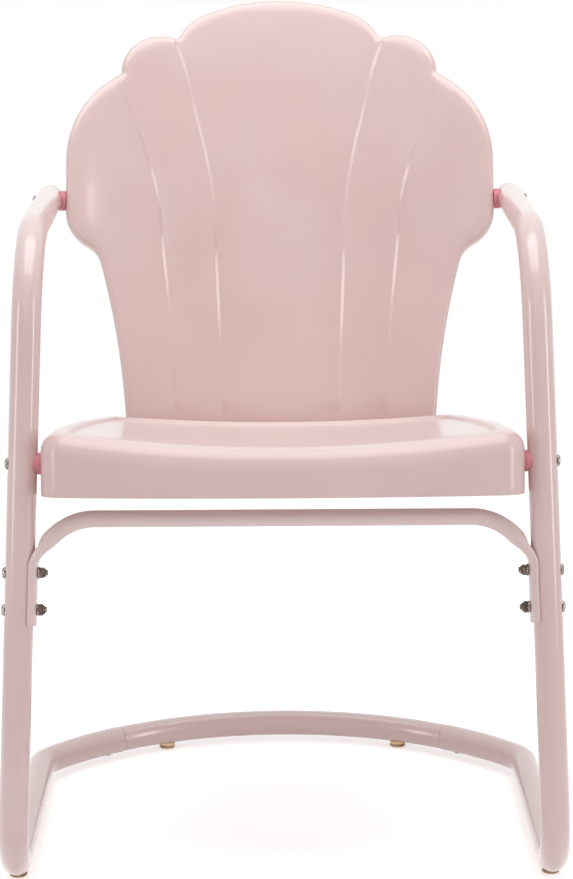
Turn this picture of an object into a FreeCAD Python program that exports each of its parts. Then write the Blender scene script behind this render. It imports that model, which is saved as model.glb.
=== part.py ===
import FreeCAD, Part
import math
import os
import Sketcher

V = FreeCAD.Vector
X_AXIS = V(1, 0, 0)
Z_AXIS = V(0, 0, 1)

# Driving sizes in millimetres and degrees. Each becomes a named cell of the sheet.
SIZES = {
    # Bent steel tube of the two sides: arm, front leg, floor bend, runner and rear corner in one.
    "tube_diameter": 29.2,
    "tube_wall": 1.2,
    "runner_half_spacing": 268.7,
    "foot_height": 5.2,
    "floor_bend_radius": 57.0,
    "leg_rake": 8.4,
    "arm_height": 643.5,
    "arm_bend_radius": 100.0,
    "arm_overhang": 20.5,
    "dent_radius": 8.0,
    "dent_depth": 1.0,
    # Bowed rear tube, reduced at both ends to push into the side tubes.
    "rear_bow_radius": 319.0,
    "rear_reach": 452.0,
    "rear_corner_radius": 47.5,
    "rear_joint_half_spacing": 186.5,
    "rear_tube_diameter": 28.2,
    "rear_tube_wall": 1.2,
    "rear_insert_length": 34.0,
    "slip_clearance": 0.15,
    # Glides under the tubes.
    "foot_diameter": 17.9,
    "foot_edge": 2.0,
    "foot_stem_diameter": 8.0,
    "foot_stem_length": 7.0,
    "front_foot_setback": 2.0,
    "rear_foot_half_spacing": 133.0,
    # U-shaped brace between the front legs.
    "brace_diameter": 16.8,
    "brace_wall": 1.2,
    "brace_drop": 54.0,
    "brace_bend_radius": 59.5,
    "brace_inset": 12.6,
    "brace_turn": 50.0,
    "tab_margin_top": 11.6,
    "tab_margin_bottom": 14.5,
    "tab_thickness": 3.4,
    "tab_reach": 9.0,
    "tab_clearance": 0.05,
    "brace_bolt_drop": 124.0,
    "brace_bolt_spacing": 36.1,
    # Pressed seat pan.
    "seat_bolt_height": 426.4,
    "seat_tilt": 7.3,
    "seat_half_width": 235.6,
    "seat_front_reach": 56.2,
    "seat_rear_reach": 344.0,
    "seat_front_radius": 1355.0,
    "seat_side_radius": 1226.0,
    "seat_front_corner": 27.0,
    "seat_rear_corner": 38.5,
    "seat_dish_radius": 1600.0,
    "seat_top": 17.8,
    "seat_skirt": 30.5,
    "seat_roll": 17.4,
    "sheet_thickness": 1.5,
    # Pressed scalloped back, bowed from bottom to top and wrapped from side to side.
    "back_bow_radius": 1544.0,
    "back_wrap_radius": 434.0,
    "back_middle_rise": 216.3,
    "back_half_width": 230.8,
    "back_top_above_bolt": 236.0,
    "back_crown_radius": 200.0,
    "shoulder_radius": 66.0,
    "shoulder_half_spacing": 52.0,
    "inner_lobe_radius": 44.7,
    "inner_lobe_half_spacing": 128.0,
    "inner_lobe_above_bolt": 146.5,
    "side_lobe_radius": 119.0,
    "side_lobe_above_bolt": 43.0,
    "hip_radius": 37.4,
    "hip_below_bolt": 15.0,
    "hip_fillet_radius": 28.0,
    "waist_half_width": 168.0,
    "waist_flare": 47.0,
    "waist_drop": 239.0,
    "back_corner_radius": 13.5,
    "notch_radius": 2.9,
    "back_bottom_margin": 2.0,
    "rim_depth": 27.0,
    "rim_roll": 5.8,
    "rim_bolt_depth": 16.4,
    # Pressed beads that run down from the notches.
    "bead_radius": 8.7,
    "bead_height": 2.9,
    "inner_bead_knee": 65.0,
    "inner_bead_foot": 59.0,
    "outer_bead_knee": 122.0,
    "outer_bead_foot": 109.5,
    "bead_knee_drop": 24.0,
    # Plastic spacers between tube and sheet.
    "spacer_diameter": 21.2,
    "seat_gap": 4.1,
    "arm_gap": 4.4,
    "spacer_wrap": 4.4,
    # Fasteners.
    "bolt_diameter": 6.0,
    "bolt_hole": 6.6,
    "bolt_head_diameter": 11.9,
    "bolt_head_height": 3.5,
    "bolt_socket": 4.0,
    "bolt_socket_depth": 2.0,
    "bolt_end": 2.5,
    "washer_diameter": 12.0,
    "washer_thickness": 1.2,
    "nut_across_flats": 10.0,
    "nut_height": 6.0,
    "seat_back_bolt_half_spacing": 92.0,
    "seat_back_bolt_drop": 15.0,
    "joint_screw_diameter": 4.2,
    "joint_screw_head": 8.5,
    "joint_screw_head_height": 2.6,
    "joint_screw_length": 8.0,
    "cap_crown": 4.0,
    "cap_plug": 11.0,
    "seating": 0.05,
    "press_gap": 0.3,
}

# Lengths and counts that only build the forms: cutters reach well past what they cut.
FAR = 1000.0
INNER_REACH = 20.0
SLAB_ANGLE = 40.0
CAP_EDGE = 1.0
FOOT_CUP = 2.0
BEAD_STATIONS = 5
BEAD_TUCK = 0.35

doc = FreeCAD.newDocument("lawn_chair")
sheet = doc.addObject("Spreadsheet::Sheet", "Sizes")
for row, (alias, value) in enumerate(SIZES.items(), 1):
    sheet.set(f"A{row}", alias)
    sheet.set(f"B{row}", str(value))
    sheet.setAlias(f"B{row}", alias)
doc.recompute()


def size(alias):
    """Value of one named cell."""
    return float(getattr(sheet, alias))


def add(kind, name, **settings):
    """Add an object. Text settings with S. for the sheet are formulas, the others are set as they are."""
    item = doc.addObject(kind, name)
    for prop, value in settings.items():
        if isinstance(value, str) and "S." in value:
            item.setExpression(prop, value.replace("S.", "Sizes."))
        else:
            setattr(item, prop, value)
    return item


def facing(direction, origin):
    """Placement that turns +Z to a direction."""
    return FreeCAD.Placement(origin, FreeCAD.Rotation(Z_AXIS, direction))


def rod(name, radius, length, start, direction):
    """Solid cylinder from a start point along a direction."""
    item = add("Part::Cylinder", name, Radius=radius, Height=length)
    item.Placement = facing(direction, start)
    return item


def fuse(name, shapes):
    return add("Part::MultiFuse", name, Shapes=shapes)


def common(name, shapes):
    return add("Part::MultiCommon", name, Shapes=shapes)


def cut(name, base, tools):
    """Base less all the tools."""
    tool = tools[0] if len(tools) == 1 else fuse(name + "_tools", tools)
    return add("Part::Cut", name, Base=base, Tool=tool)


def shape_feature(name, shape):
    item = doc.addObject("Part::Feature", name)
    item.Shape = shape
    return item


def mirrored(name, source):
    return add("Part::Mirroring", name, Source=source, Base=V(0, 0, 0), Normal=X_AXIS)


def opposite(point):
    """The same point on the other side of the chair."""
    return V(-point.x, point.y, point.z)


# Side tube: every bend lies between straight runs, so the whole frame follows from a few points.
tube_radius = size("tube_diameter") / 2
tube_axis_height = size("foot_height") + tube_radius
rake = math.radians(size("leg_rake"))
floor_turn = math.pi / 2 + rake
floor_tangent = size("floor_bend_radius") * math.tan(floor_turn / 2)
seat_leg_x = size("seat_half_width") + size("seat_gap") + tube_radius
splay = (size("runner_half_spacing") - seat_leg_x) / (size("seat_bolt_height") - tube_axis_height)

# The back leans on from the seat, and its top edge sets how deep the chair is.
tilt = math.radians(size("seat_tilt"))
middle_lean = tilt + size("back_middle_rise") / size("back_bow_radius")
bow = size("back_bow_radius")
wrap = size("back_wrap_radius")
seat_origin_y = -floor_tangent + (size("seat_bolt_height") - tube_axis_height) * math.tan(rake)
back_start = size("seat_rear_reach") + size("press_gap")
bow_centre_y = seat_origin_y + (back_start + bow) * math.cos(tilt)
bow_centre_z = size("seat_bolt_height") - (back_start + bow) * math.sin(tilt)
back_origin_y = bow_centre_y - bow * math.cos(middle_lean)
back_origin_z = bow_centre_z + bow * math.sin(middle_lean)


def back_side_depth(up):
    """Depth of the front edge of the back's side wall, at a height on the back."""
    side_wrap = wrap - math.sqrt(wrap ** 2 - size("back_half_width") ** 2)
    return bow - math.sqrt((bow + side_wrap) ** 2 - up ** 2)


# Back bolt: on the side wall of the back, at the height of the arm tube. The outline is placed from it.
back_bolt_up = 0.0
for _ in range(20):
    depth = back_side_depth(back_bolt_up) + size("rim_bolt_depth")
    sunk = size("arm_height") - back_origin_z + depth * math.sin(middle_lean)
    back_bolt_up = sunk / math.cos(middle_lean)
back_bolt_depth = back_side_depth(back_bolt_up) + size("rim_bolt_depth")
back_top = back_bolt_up + size("back_top_above_bolt")
top_setback = bow - math.sqrt((bow - size("rim_depth")) ** 2 - back_top ** 2)
rear_most = (
    back_origin_y
    + back_top * math.sin(middle_lean)
    + top_setback * math.cos(middle_lean)
)
front_most = -size("floor_bend_radius") - tube_radius
centring = -(rear_most + front_most) / 2

seat_frame = FreeCAD.Placement(
    V(0, seat_origin_y + centring, size("seat_bolt_height")),
    FreeCAD.Rotation(X_AXIS, -size("seat_tilt")),
)
back_frame = FreeCAD.Placement(
    V(0, back_origin_y + centring, back_origin_z),
    FreeCAD.Rotation(X_AXIS, -math.degrees(middle_lean)),
)


def leg_point(height, inward=0.0):
    """Point on the right leg's axis, or beside it towards the middle of the chair."""
    rise = height - tube_axis_height
    x = size("runner_half_spacing") - splay * rise - inward
    return V(x, centring - floor_tangent + rise * math.tan(rake), height)


leg_direction = (leg_point(1.0) - leg_point(0.0)).normalize()
leg_plane_up = V(0, math.sin(rake), math.cos(rake))
runner_start = V(size("runner_half_spacing"), centring, tube_axis_height)


def bend(before, corner, after, radius):
    """Start, middle and end of the arc that rounds a corner between two runs."""
    back = (before - corner).normalize()
    onward = (after - corner).normalize()
    half = back.getAngle(onward) / 2
    inward = (back + onward).normalize()
    tangent = radius / math.tan(half)
    middle = corner + inward * (radius / math.sin(half) - radius)
    return corner + back * tangent, middle, corner + onward * tangent


def line(start, end):
    return Part.LineSegment(start, end).toShape()


def arc(start, middle, end):
    return Part.Arc(start, middle, end).toShape()


def tube_sweep(name, path, radius):
    """Round bar along a path of runs and arcs."""
    edges = path.Shape.Edges
    section = add("Part::Circle", name + "_section", Radius=radius)
    section.Placement = facing(edges[0].tangentAt(edges[0].FirstParameter), edges[0].Vertexes[0].Point)
    names = [f"Edge{i + 1}" for i in range(len(edges))]
    return add("Part::Sweep", name, Sections=[section], Spine=(path, names), Solid=True)


def path_feature(name, edges):
    return shape_feature(name, Part.Wire(edges))


arm_bolt = back_frame.multVec(V(size("back_half_width"), back_bolt_depth, back_bolt_up))

arm_bolt_x = size("back_half_width") + size("arm_gap") + tube_radius
arm_corner = leg_point(size("arm_height"))
arm_at_bolt = V(arm_bolt_x, arm_bolt.y, size("arm_height"))
arm_direction = (arm_at_bolt - arm_corner).normalize()
arm_end = arm_at_bolt + arm_direction * size("arm_overhang")
seat_bolt = leg_point(size("seat_bolt_height"))
floor_corner = leg_point(tube_axis_height)
half_spacing = size("brace_bolt_spacing") / 2
brace_bolt_height = size("seat_bolt_height") - size("brace_bolt_drop")
brace_bolts = [leg_point(brace_bolt_height + half_spacing * side) for side in (1, -1)]

# Paths of the side tube, cut at the top of the floor bend where the frame springs.
arm_bend = bend(arm_end, arm_corner, leg_point(0.0), size("arm_bend_radius"))
floor_bend = bend(arm_corner, floor_corner, runner_start, size("floor_bend_radius"))
spring_line = floor_bend[0]
upper_path = path_feature("upper_path", [
    line(arm_end, arm_bend[0]),
    arc(*arm_bend),
    line(arm_bend[2], spring_line),
])

bow_axis = V(0, centring + size("rear_reach") - size("rear_bow_radius"), tube_axis_height)
corner_x = size("runner_half_spacing") - size("rear_corner_radius")
corner_reach = size("rear_bow_radius") - size("rear_corner_radius")
corner_axis = bow_axis + V(corner_x, math.sqrt(corner_reach ** 2 - corner_x ** 2), 0)


def on_bow(x):
    """Point of the rear bow at a distance from the middle."""
    return bow_axis + V(x, math.sqrt(size("rear_bow_radius") ** 2 - x ** 2), 0)


def on_bow_angle(angle):
    reach = size("rear_bow_radius")
    return bow_axis + V(reach * math.sin(angle), reach * math.cos(angle), 0)


corner_start = corner_axis + V(size("rear_corner_radius"), 0, 0)
corner_turn = math.atan2(corner_axis.x - bow_axis.x, corner_axis.y - bow_axis.y)
corner_end = on_bow_angle(corner_turn)
half_turn = (math.pi / 2 + corner_turn) / 2
corner_middle = corner_axis + V(math.sin(half_turn), math.cos(half_turn), 0) * size("rear_corner_radius")
joint_angle = math.asin(size("rear_joint_half_spacing") / size("rear_bow_radius"))
lower_path = path_feature("lower_path", [
    arc(*floor_bend),
    line(floor_bend[2], corner_start),
    arc(corner_start, corner_middle, corner_end),
    arc(corner_end, on_bow_angle((corner_turn + joint_angle) / 2), on_bow_angle(joint_angle)),
])


def bolt_tools(name, bolts):
    """Backing that keeps metal under each dent, and the dent and hole to cut."""
    backing = []
    cuts = []
    for i, point in enumerate(bolts):
        crown = V(point.x + tube_radius, point.y, point.z)
        floor = crown - X_AXIS * (size("dent_depth") + size("tube_wall"))
        radius = "S.dent_radius + S.tube_wall"
        backing.append(rod(f"{name}_backing{i}", radius, "S.tube_diameter / 4", floor, X_AXIS))
        face = crown - X_AXIS * size("dent_depth")
        cuts.append(rod(f"{name}_dent{i}", "S.dent_radius", "S.tube_diameter", face, X_AXIS))
        far = point - X_AXIS * size("tube_diameter")
        cuts.append(rod(f"{name}_hole{i}", "S.bolt_hole / 2", "2 * S.tube_diameter", far, X_AXIS))
    return backing, cuts


# Upper half of the right side tube: arm and front leg.
upper_bar = tube_sweep("upper_bar", upper_path, "S.tube_diameter / 2")
upper_core = tube_sweep("upper_core", upper_path, "S.tube_diameter / 2 - S.tube_wall")
backing, dents = bolt_tools("leg", [seat_bolt] + brace_bolts + [arm_at_bolt])
upper_bore = cut("upper_bore", upper_core, backing)
right_arm_and_leg = cut("right_arm_and_leg", upper_bar, [upper_bore] + dents)
left_arm_and_leg = mirrored("left_arm_and_leg", right_arm_and_leg)

# Lower half: floor bend, runner, rear corner and the socket for the rear tube.
lower_bar = tube_sweep("lower_bar", lower_path, "S.tube_diameter / 2")
lower_core = tube_sweep("lower_core", lower_path, "S.tube_diameter / 2 - S.tube_wall")
front_foot = V(size("runner_half_spacing"), centring + size("front_foot_setback"), 0)
rear_foot = on_bow(size("rear_foot_half_spacing"))
rear_foot.z = 0
insert_angle = size("rear_insert_length") / size("rear_bow_radius")
joint_screw = on_bow_angle(joint_angle + insert_angle / 2)
joint_screw.z = size("foot_height")
screw_hole = rod(
    "screw_hole", "S.joint_screw_diameter / 2", "S.tube_diameter / 2", joint_screw - Z_AXIS, Z_AXIS
)
stem_reach = "S.tube_diameter / 2 + S.foot_height"
front_stem_hole = rod("front_stem_hole", "S.foot_stem_diameter / 2", stem_reach, front_foot, Z_AXIS)
right_runner = cut("right_runner", lower_bar, [lower_core, screw_hole, front_stem_hole])
left_runner = mirrored("left_runner", right_runner)

# Rear tube: full size between the joints, reduced where it enters the side tubes.
insert_end = joint_angle + insert_angle
rear_path = path_feature("rear_path", [
    arc(on_bow_angle(joint_angle), on_bow_angle(0), on_bow_angle(-joint_angle)),
])
insert_path = path_feature("insert_path", [
    arc(on_bow_angle(insert_end), on_bow_angle(0), on_bow_angle(-insert_end)),
])
rear_bar = tube_sweep("rear_bar", rear_path, "S.rear_tube_diameter / 2")
insert_bar = tube_sweep("insert_bar", insert_path, "S.tube_diameter / 2 - S.tube_wall - S.slip_clearance")
insert_bore = tube_sweep(
    "insert_bore", insert_path, "S.tube_diameter / 2 - S.tube_wall - S.slip_clearance - S.rear_tube_wall"
)
rear_stem_holes = [
    rod(f"rear_stem_hole{i}", "S.foot_stem_diameter / 2", stem_reach, point, Z_AXIS)
    for i, point in enumerate((rear_foot, opposite(rear_foot)))
]
other_screw_hole = mirrored("other_screw_hole", screw_hole)
rear_outer = fuse("rear_outer", [rear_bar, insert_bar])
rear_cuts = [insert_bore, screw_hole, other_screw_hole] + rear_stem_holes
rear_cross_tube = cut("rear_cross_tube", rear_outer, rear_cuts)


def turned(name, profile):
    """Body turned about its own Z axis; each corner of the profile is a pair of formulas."""
    body = doc.addObject("PartDesign::Body", name)
    sketch = body.newObject("Sketcher::SketchObject", name + "_profile")
    plane = [f for f in body.Origin.OriginFeatures if f.Role == "XZ_Plane"][0]
    sketch.AttachmentSupport = (plane, [""])
    sketch.MapMode = "FlatFace"
    count = len(profile)
    turns = [2 * math.pi * i / count for i in range(count)]
    ring = [V(math.cos(turn), math.sin(turn), 0) * size("bolt_head_diameter") for turn in turns]
    for i in range(count):
        sketch.addGeometry(Part.LineSegment(ring[i], ring[(i + 1) % count]))
    for i, (radius, height) in enumerate(profile):
        sketch.addConstraint(Sketcher.Constraint("Coincident", i, 2, (i + 1) % count, 1))
        for kind, formula, start in (("DistanceX", radius, ring[i].x), ("DistanceY", height, ring[i].y)):
            index = sketch.addConstraint(Sketcher.Constraint(kind, -1, 1, i, 1, start))
            sketch.setExpression(f"Constraints[{index}]", formula.replace("S.", "Sizes."))
    revolution = body.newObject("PartDesign::Revolution", name + "_turn")
    revolution.Profile = sketch
    revolution.ReferenceAxis = (sketch, ["V_Axis"])
    revolution.Angle = 360
    body.Tip = revolution
    return body


def hexagon(name, across_flats, height):
    return add("Part::Prism", name, Circumradius=f"{across_flats} / sqrt(3)", Height=height)


def bolt(name, length):
    """Button-head socket screw: the head stands on z = 0 and the shank runs down."""
    shank = f"-({length})"
    body = turned(name + "_turned", [
        ("0", shank),
        ("S.bolt_diameter * 0.4", shank),
        ("S.bolt_diameter / 2", f"{shank} + S.bolt_diameter * 0.1"),
        ("S.bolt_diameter / 2", "0"),
        ("S.bolt_head_diameter / 2", "0"),
        ("S.bolt_head_diameter / 2", "S.bolt_head_height * 0.2"),
        ("S.bolt_head_diameter * 0.44", "S.bolt_head_height * 0.66"),
        ("S.bolt_head_diameter * 0.3", "S.bolt_head_height"),
        ("0", "S.bolt_head_height"),
    ])
    socket = hexagon(name + "_socket", "S.bolt_socket", "S.bolt_head_height")
    socket.setExpression(".Placement.Base.z", "Sizes.bolt_head_height - Sizes.bolt_socket_depth")
    return cut(name, body, [socket])


def spread(name, piece, places):
    """One node that holds a copy of a piece at each place."""
    doc.recompute()
    copies = []
    for place in places:
        solid = piece.Shape.copy()
        solid.Placement = place.multiply(solid.Placement)
        copies.append(solid)
    return shape_feature(name, Part.makeCompound(copies))


def pair(place):
    """A placement and its mirror image on the other side of the chair."""
    base = place.Base
    direction = place.Rotation.multVec(Z_AXIS)
    return [place, facing(V(-direction.x, direction.y, direction.z), V(-base.x, base.y, base.z))]


# Washer and locking nut that all the bolts share: both stand on z = 0.
washer_disc = rod("washer_disc", "S.washer_diameter / 2", "S.washer_thickness", V(0, 0, 0), Z_AXIS)
washer_bore = rod("washer_bore", "S.bolt_hole / 2", "S.washer_thickness", V(0, 0, 0), Z_AXIS)
washer = cut("washer", washer_disc, [washer_bore])
nut_hex = hexagon("nut_hex", "S.nut_across_flats", "S.nut_height * 0.72")
nut_collar = rod("nut_collar", "S.nut_across_flats * 0.43", "S.nut_height", V(0, 0, 0), Z_AXIS)
nut_bore = rod("nut_bore", "S.bolt_diameter / 2 + S.seating", "S.nut_height", V(0, 0, 0), Z_AXIS)
nut = cut("nut", fuse("nut_body", [nut_hex, nut_collar]), [nut_bore])

seating = size("seating")
sheet_wall = size("sheet_thickness")
head_seat = tube_radius - size("dent_depth") + seating
washer_step = size("washer_thickness") + seating

# Screws up through both tubes at the rear joints.
joint_screw_body = turned("joint_screw", [
    ("0", "S.joint_screw_length"),
    ("S.joint_screw_diameter / 2 - S.seating", "S.joint_screw_length * 0.85"),
    ("S.joint_screw_diameter / 2 - S.seating", "0"),
    ("S.joint_screw_head / 2", "0"),
    ("S.joint_screw_head * 0.42", "-S.joint_screw_head_height * 0.7"),
    ("S.joint_screw_head * 0.25", "-S.joint_screw_head_height"),
    ("0", "-S.joint_screw_head_height"),
])
spread("rear_tube_screws", joint_screw_body, pair(facing(Z_AXIS, joint_screw - Z_AXIS * seating)))

# Glides: a domed foot that cups the tube, with a stem pushed through its wall.
foot_body = turned("foot_turned", [
    ("0", "0"),
    ("S.foot_diameter / 2 - S.foot_edge", "0"),
    ("S.foot_diameter / 2", "S.foot_edge"),
    ("S.foot_diameter / 2", f"S.foot_height + {FOOT_CUP}"),
    ("S.foot_stem_diameter / 2 - S.seating", f"S.foot_height + {FOOT_CUP}"),
    ("S.foot_stem_diameter / 2 - S.seating", "S.foot_height + S.foot_stem_length"),
    ("0", "S.foot_height + S.foot_stem_length"),
])
front_blank = spread("front_blank", foot_body, pair(facing(Z_AXIS, front_foot)))
rear_blank = spread("rear_blank", foot_body, pair(facing(Z_AXIS, rear_foot)))
cut("front_feet", front_blank, [right_runner, left_runner])
cut("rear_feet", rear_blank, [rear_cross_tube])

# Plugs in the rear ends of the arms.
plug_radius = "S.tube_diameter / 2 - S.tube_wall - S.slip_clearance"
arm_cap_body = turned("arm_cap", [
    ("0", "-S.cap_plug"),
    (f"{plug_radius} - {CAP_EDGE}", "-S.cap_plug"),
    (plug_radius, f"{CAP_EDGE} - S.cap_plug"),
    (plug_radius, "0"),
    ("S.tube_diameter / 2", "0"),
    ("S.tube_diameter / 2", "S.cap_crown * 0.35"),
    ("S.tube_diameter * 0.42", "S.cap_crown * 0.75"),
    ("S.tube_diameter * 0.27", "S.cap_crown"),
    ("0", "S.cap_crown"),
])
spread("arm_end_caps", arm_cap_body, pair(facing(arm_direction, arm_end)))

# Cross brace: a U of thinner tube in the plane of the legs, its ends flattened into tabs that cup the legs.
brace_corner = leg_point(size("seat_bolt_height") - size("brace_drop"), size("brace_inset"))
brace_radius = size("brace_bend_radius")
brace_turn = math.radians(size("brace_turn"))
brace_axis = brace_corner - X_AXIS * brace_radius - leg_plane_up * brace_radius


def around(centre, first, second, radius, angle):
    return centre + first * (radius * math.cos(angle)) + second * (radius * math.sin(angle))


def on_brace(angle):
    """Point of the brace's right bend, counted from the straight middle part."""
    return around(brace_axis, X_AXIS, leg_plane_up, brace_radius, math.pi / 2 - angle)


brace_points = [on_brace(brace_turn), on_brace(brace_turn / 2), on_brace(0)]
brace_path = path_feature("brace_path", [
    arc(*brace_points),
    line(brace_points[2], opposite(brace_points[2])),
    arc(*[opposite(point) for point in reversed(brace_points)]),
])
brace_bar = tube_sweep("brace_bar", brace_path, "S.brace_diameter / 2")
brace_core = tube_sweep("brace_core", brace_path, "S.brace_diameter / 2 - S.brace_wall")
brace_tube = cut("brace_tube", brace_bar, [brace_core])

tab_inner = tube_radius + size("tab_clearance")
tab_outer = tab_inner + size("tab_thickness")
tab_half_angle = math.acos(size("tab_reach") / (tab_inner + tab_outer) * 2)
inward = (-X_AXIS + leg_direction * X_AXIS.dot(leg_direction)).normalize()
sideways = leg_direction.cross(inward)
tab_top = leg_point(brace_bolt_height + half_spacing + size("tab_margin_top"))


def four_arcs(name, points):
    """Closed outline of four edges through eight points; even points are corners."""
    edges = [arc(points[i], points[i + 1], points[(i + 2) % 8]) for i in range(0, 8, 2)]
    return path_feature(name, edges)


def tab_point(radius, share):
    return around(tab_top, inward, sideways, radius, tab_half_angle * share)


tab_section = path_feature("tab_section", [
    arc(tab_point(tab_outer, -1), tab_point(tab_outer, 0), tab_point(tab_outer, 1)),
    line(tab_point(tab_outer, 1), tab_point(tab_inner, 1)),
    arc(tab_point(tab_inner, 1), tab_point(tab_inner, 0), tab_point(tab_inner, -1)),
    line(tab_point(tab_inner, -1), tab_point(tab_outer, -1)),
])
brace_inside = -(X_AXIS * math.sin(brace_turn) + leg_plane_up * math.cos(brace_turn))
brace_end_section = four_arcs("brace_end_section", [
    around(brace_points[0], brace_inside, sideways, size("brace_diameter") / 2, math.radians(angle))
    for angle in (-60, 0, 60, 90, 120, 180, 240, 270)
])
flattened_end = add("Part::Loft", "flattened_end", Sections=[brace_end_section, tab_section], Solid=True)
tab = add(
    "Part::Extrusion", "tab", Base=tab_section, DirMode="Custom", Dir=-leg_direction, Solid=True,
    FaceMakerClass="Part::FaceMakerBullseye",
    LengthFwd="(S.brace_bolt_spacing + S.tab_margin_top + S.tab_margin_bottom) / cos(S.leg_rake)",
)
brace_end = fuse("brace_end", [flattened_end, tab])
other_brace_end = mirrored("other_brace_end", brace_end)
brace_holes = [
    rod(f"brace_hole{i}", "S.bolt_hole / 2", 2 * FAR, V(-FAR, point.y, point.z), X_AXIS)
    for i, point in enumerate(brace_bolts)
]
cross_brace = cut("cross_brace", fuse("brace_parts", [brace_tube, brace_end, other_brace_end]), brace_holes)


def bolt_stack(name, points, clamped, inner_face):
    """Bolts with heads outside the tube, and washers and nuts inside what they clamp, on both sides."""
    shank = f"S.tube_diameter - S.dent_depth + {clamped} + S.washer_thickness + S.nut_height + S.bolt_end"
    heads = []
    washers = []
    nuts = []
    for point in points:
        face = point - X_AXIS * (inner_face + seating)
        heads += pair(facing(X_AXIS, point + X_AXIS * head_seat))
        washers += pair(facing(-X_AXIS, face))
        nuts += pair(facing(-X_AXIS, face - X_AXIS * washer_step))
    spread(f"{name}_bolts", bolt(f"{name}_bolt", shank), heads)
    spread(f"{name}_washers", washer, washers)
    spread(f"{name}_nuts", nut, nuts)


washer_rock = splay * size("washer_diameter") / 2
bolt_stack("brace", brace_bolts, "S.tab_thickness", tab_outer + washer_rock)

# Seat pan: four arcs in plan, a dished top, rounded corners and a rolled edge, pressed from one sheet.


def vertical_edges(shape, test):
    """Numbers of the straight upright edges of a shape that pass a test on their plan position."""
    found = []
    for number, edge in enumerate(shape.Edges, 1):
        if edge.Curve.TypeId == "Part::GeomLine" and abs(edge.Curve.Direction.z) > 0.99:
            if test(edge.Vertexes[0].Point):
                found.append(number)
    return found


def edges_of(shape, face):
    """Numbers of a shape's edges that bound one of its faces."""
    return [i for i, edge in enumerate(shape.Edges, 1) if any(edge.isSame(e) for e in face.Edges)]


def round_edges(name, base, numbers_and_radii):
    fillet = add("Part::Fillet", name, Base=base)
    fillet.Edges = [(number, radius, radius) for number, radius in numbers_and_radii]
    return fillet


def seat_form(name, offset, extra_depth):
    """Outside or inside of the pressing, in the seat's own frame: x across, y back, z square to the seat."""
    inset = f"{offset} * S.sheet_thickness"
    floor = size("seat_skirt") + extra_depth
    plans = (
        ("front", "S.seat_front_radius", V(0, size("seat_front_radius") - size("seat_front_reach"), 0)),
        ("rear", "S.back_wrap_radius", V(0, size("seat_rear_reach") - wrap, 0)),
        ("right", "S.seat_side_radius", V(size("seat_half_width") - size("seat_side_radius"), 0, 0)),
        ("left", "S.seat_side_radius", V(size("seat_side_radius") - size("seat_half_width"), 0, 0)),
    )
    walls = []
    for side, radius, centre in plans:
        wall = rod(f"{name}_{side}", f"{radius} - {inset}", FAR, centre - Z_AXIS * floor, Z_AXIS)
        walls.append(wall)
    block = common(f"{name}_block", walls)
    dish_start = V(0, -FAR, size("seat_top") + size("seat_dish_radius"))
    dish = rod(f"{name}_dish", f"S.seat_dish_radius + {inset}", 2 * FAR, dish_start, V(0, 1, 0))
    blank = cut(f"{name}_blank", block, [dish])
    doc.recompute()
    rounds = []
    thickness = offset * size("sheet_thickness")
    half_way = (size("seat_rear_reach") - size("seat_front_reach")) / 2
    for number in vertical_edges(blank.Shape, lambda point: point.y < half_way):
        rounds.append((number, size("seat_front_corner") - thickness))
    for number in vertical_edges(blank.Shape, lambda point: point.y > half_way):
        rounds.append((number, size("seat_rear_corner") - thickness))
    cornered = round_edges(f"{name}_cornered", blank, rounds)
    doc.recompute()
    top = max(cornered.Shape.Faces, key=lambda face: face.CenterOfMass.z)
    rim = edges_of(cornered.Shape, top)
    return round_edges(f"{name}_form", cornered, [(number, size("seat_roll") - thickness) for number in rim])


seat_outside = seat_form("seat_outside", 0, 0.0)
seat_inside = seat_form("seat_inside", 1, INNER_REACH)
seat_shell = cut("seat_shell", seat_outside, [seat_inside])
seat_shell.Placement = seat_frame
side_hole = rod("side_hole", "S.bolt_hole / 2", 2 * FAR, V(-FAR, seat_bolt.y, seat_bolt.z), X_AXIS)

# Bolts from the seat's rear wall into the back, square to both sheets.
wrap_axis = V(0, size("seat_rear_reach") - wrap, -size("seat_back_bolt_drop"))
rear_bolt_turn = math.asin(size("seat_back_bolt_half_spacing") / wrap)
rear_bolt_way = V(math.sin(rear_bolt_turn), math.cos(rear_bolt_turn), 0)


def rear_bolt_place(radius):
    """Placement on the rear bolt's axis, at a distance from the wrap's axis, with +Z towards the front."""
    return facing(
        seat_frame.Rotation.multVec(-rear_bolt_way),
        seat_frame.multVec(wrap_axis + rear_bolt_way * radius),
    )


rear_hole_start = rear_bolt_place(wrap + size("tube_diameter"))
rear_holes = []
for i, place in enumerate(pair(rear_hole_start)):
    hole = rod(f"rear_hole{i}", "S.bolt_hole / 2", "2 * S.tube_diameter", V(0, 0, 0), Z_AXIS)
    hole.Placement = place
    rear_holes.append(hole)
seat_pan = cut("seat_pan", seat_shell, [side_hole] + rear_holes)

# Back: the scalloped outline is a chain of touching circles.


def touch(first, second):
    """Point where two circles (x, z, radius) that touch each other meet."""
    big, small = (first, second) if first[2] > second[2] else (second, first)
    gap = math.hypot(small[0] - big[0], small[1] - big[1])
    share = big[2] / gap
    return big[0] + (small[0] - big[0]) * share, big[1] + (small[1] - big[1]) * share


def rolling(first, first_gap, second, second_gap, side, radius):
    """Circle centred at given distances from two others, to the left (1) or right (-1) of the way."""
    dx = second[0] - first[0]
    dz = second[1] - first[1]
    apart = math.hypot(dx, dz)
    along = (apart ** 2 + first_gap ** 2 - second_gap ** 2) / (2 * apart)
    off = side * math.sqrt(first_gap ** 2 - along ** 2)
    x = first[0] + (dx * along - dz * off) / apart
    z = first[1] + (dz * along + dx * off) / apart
    return x, z, radius


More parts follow.
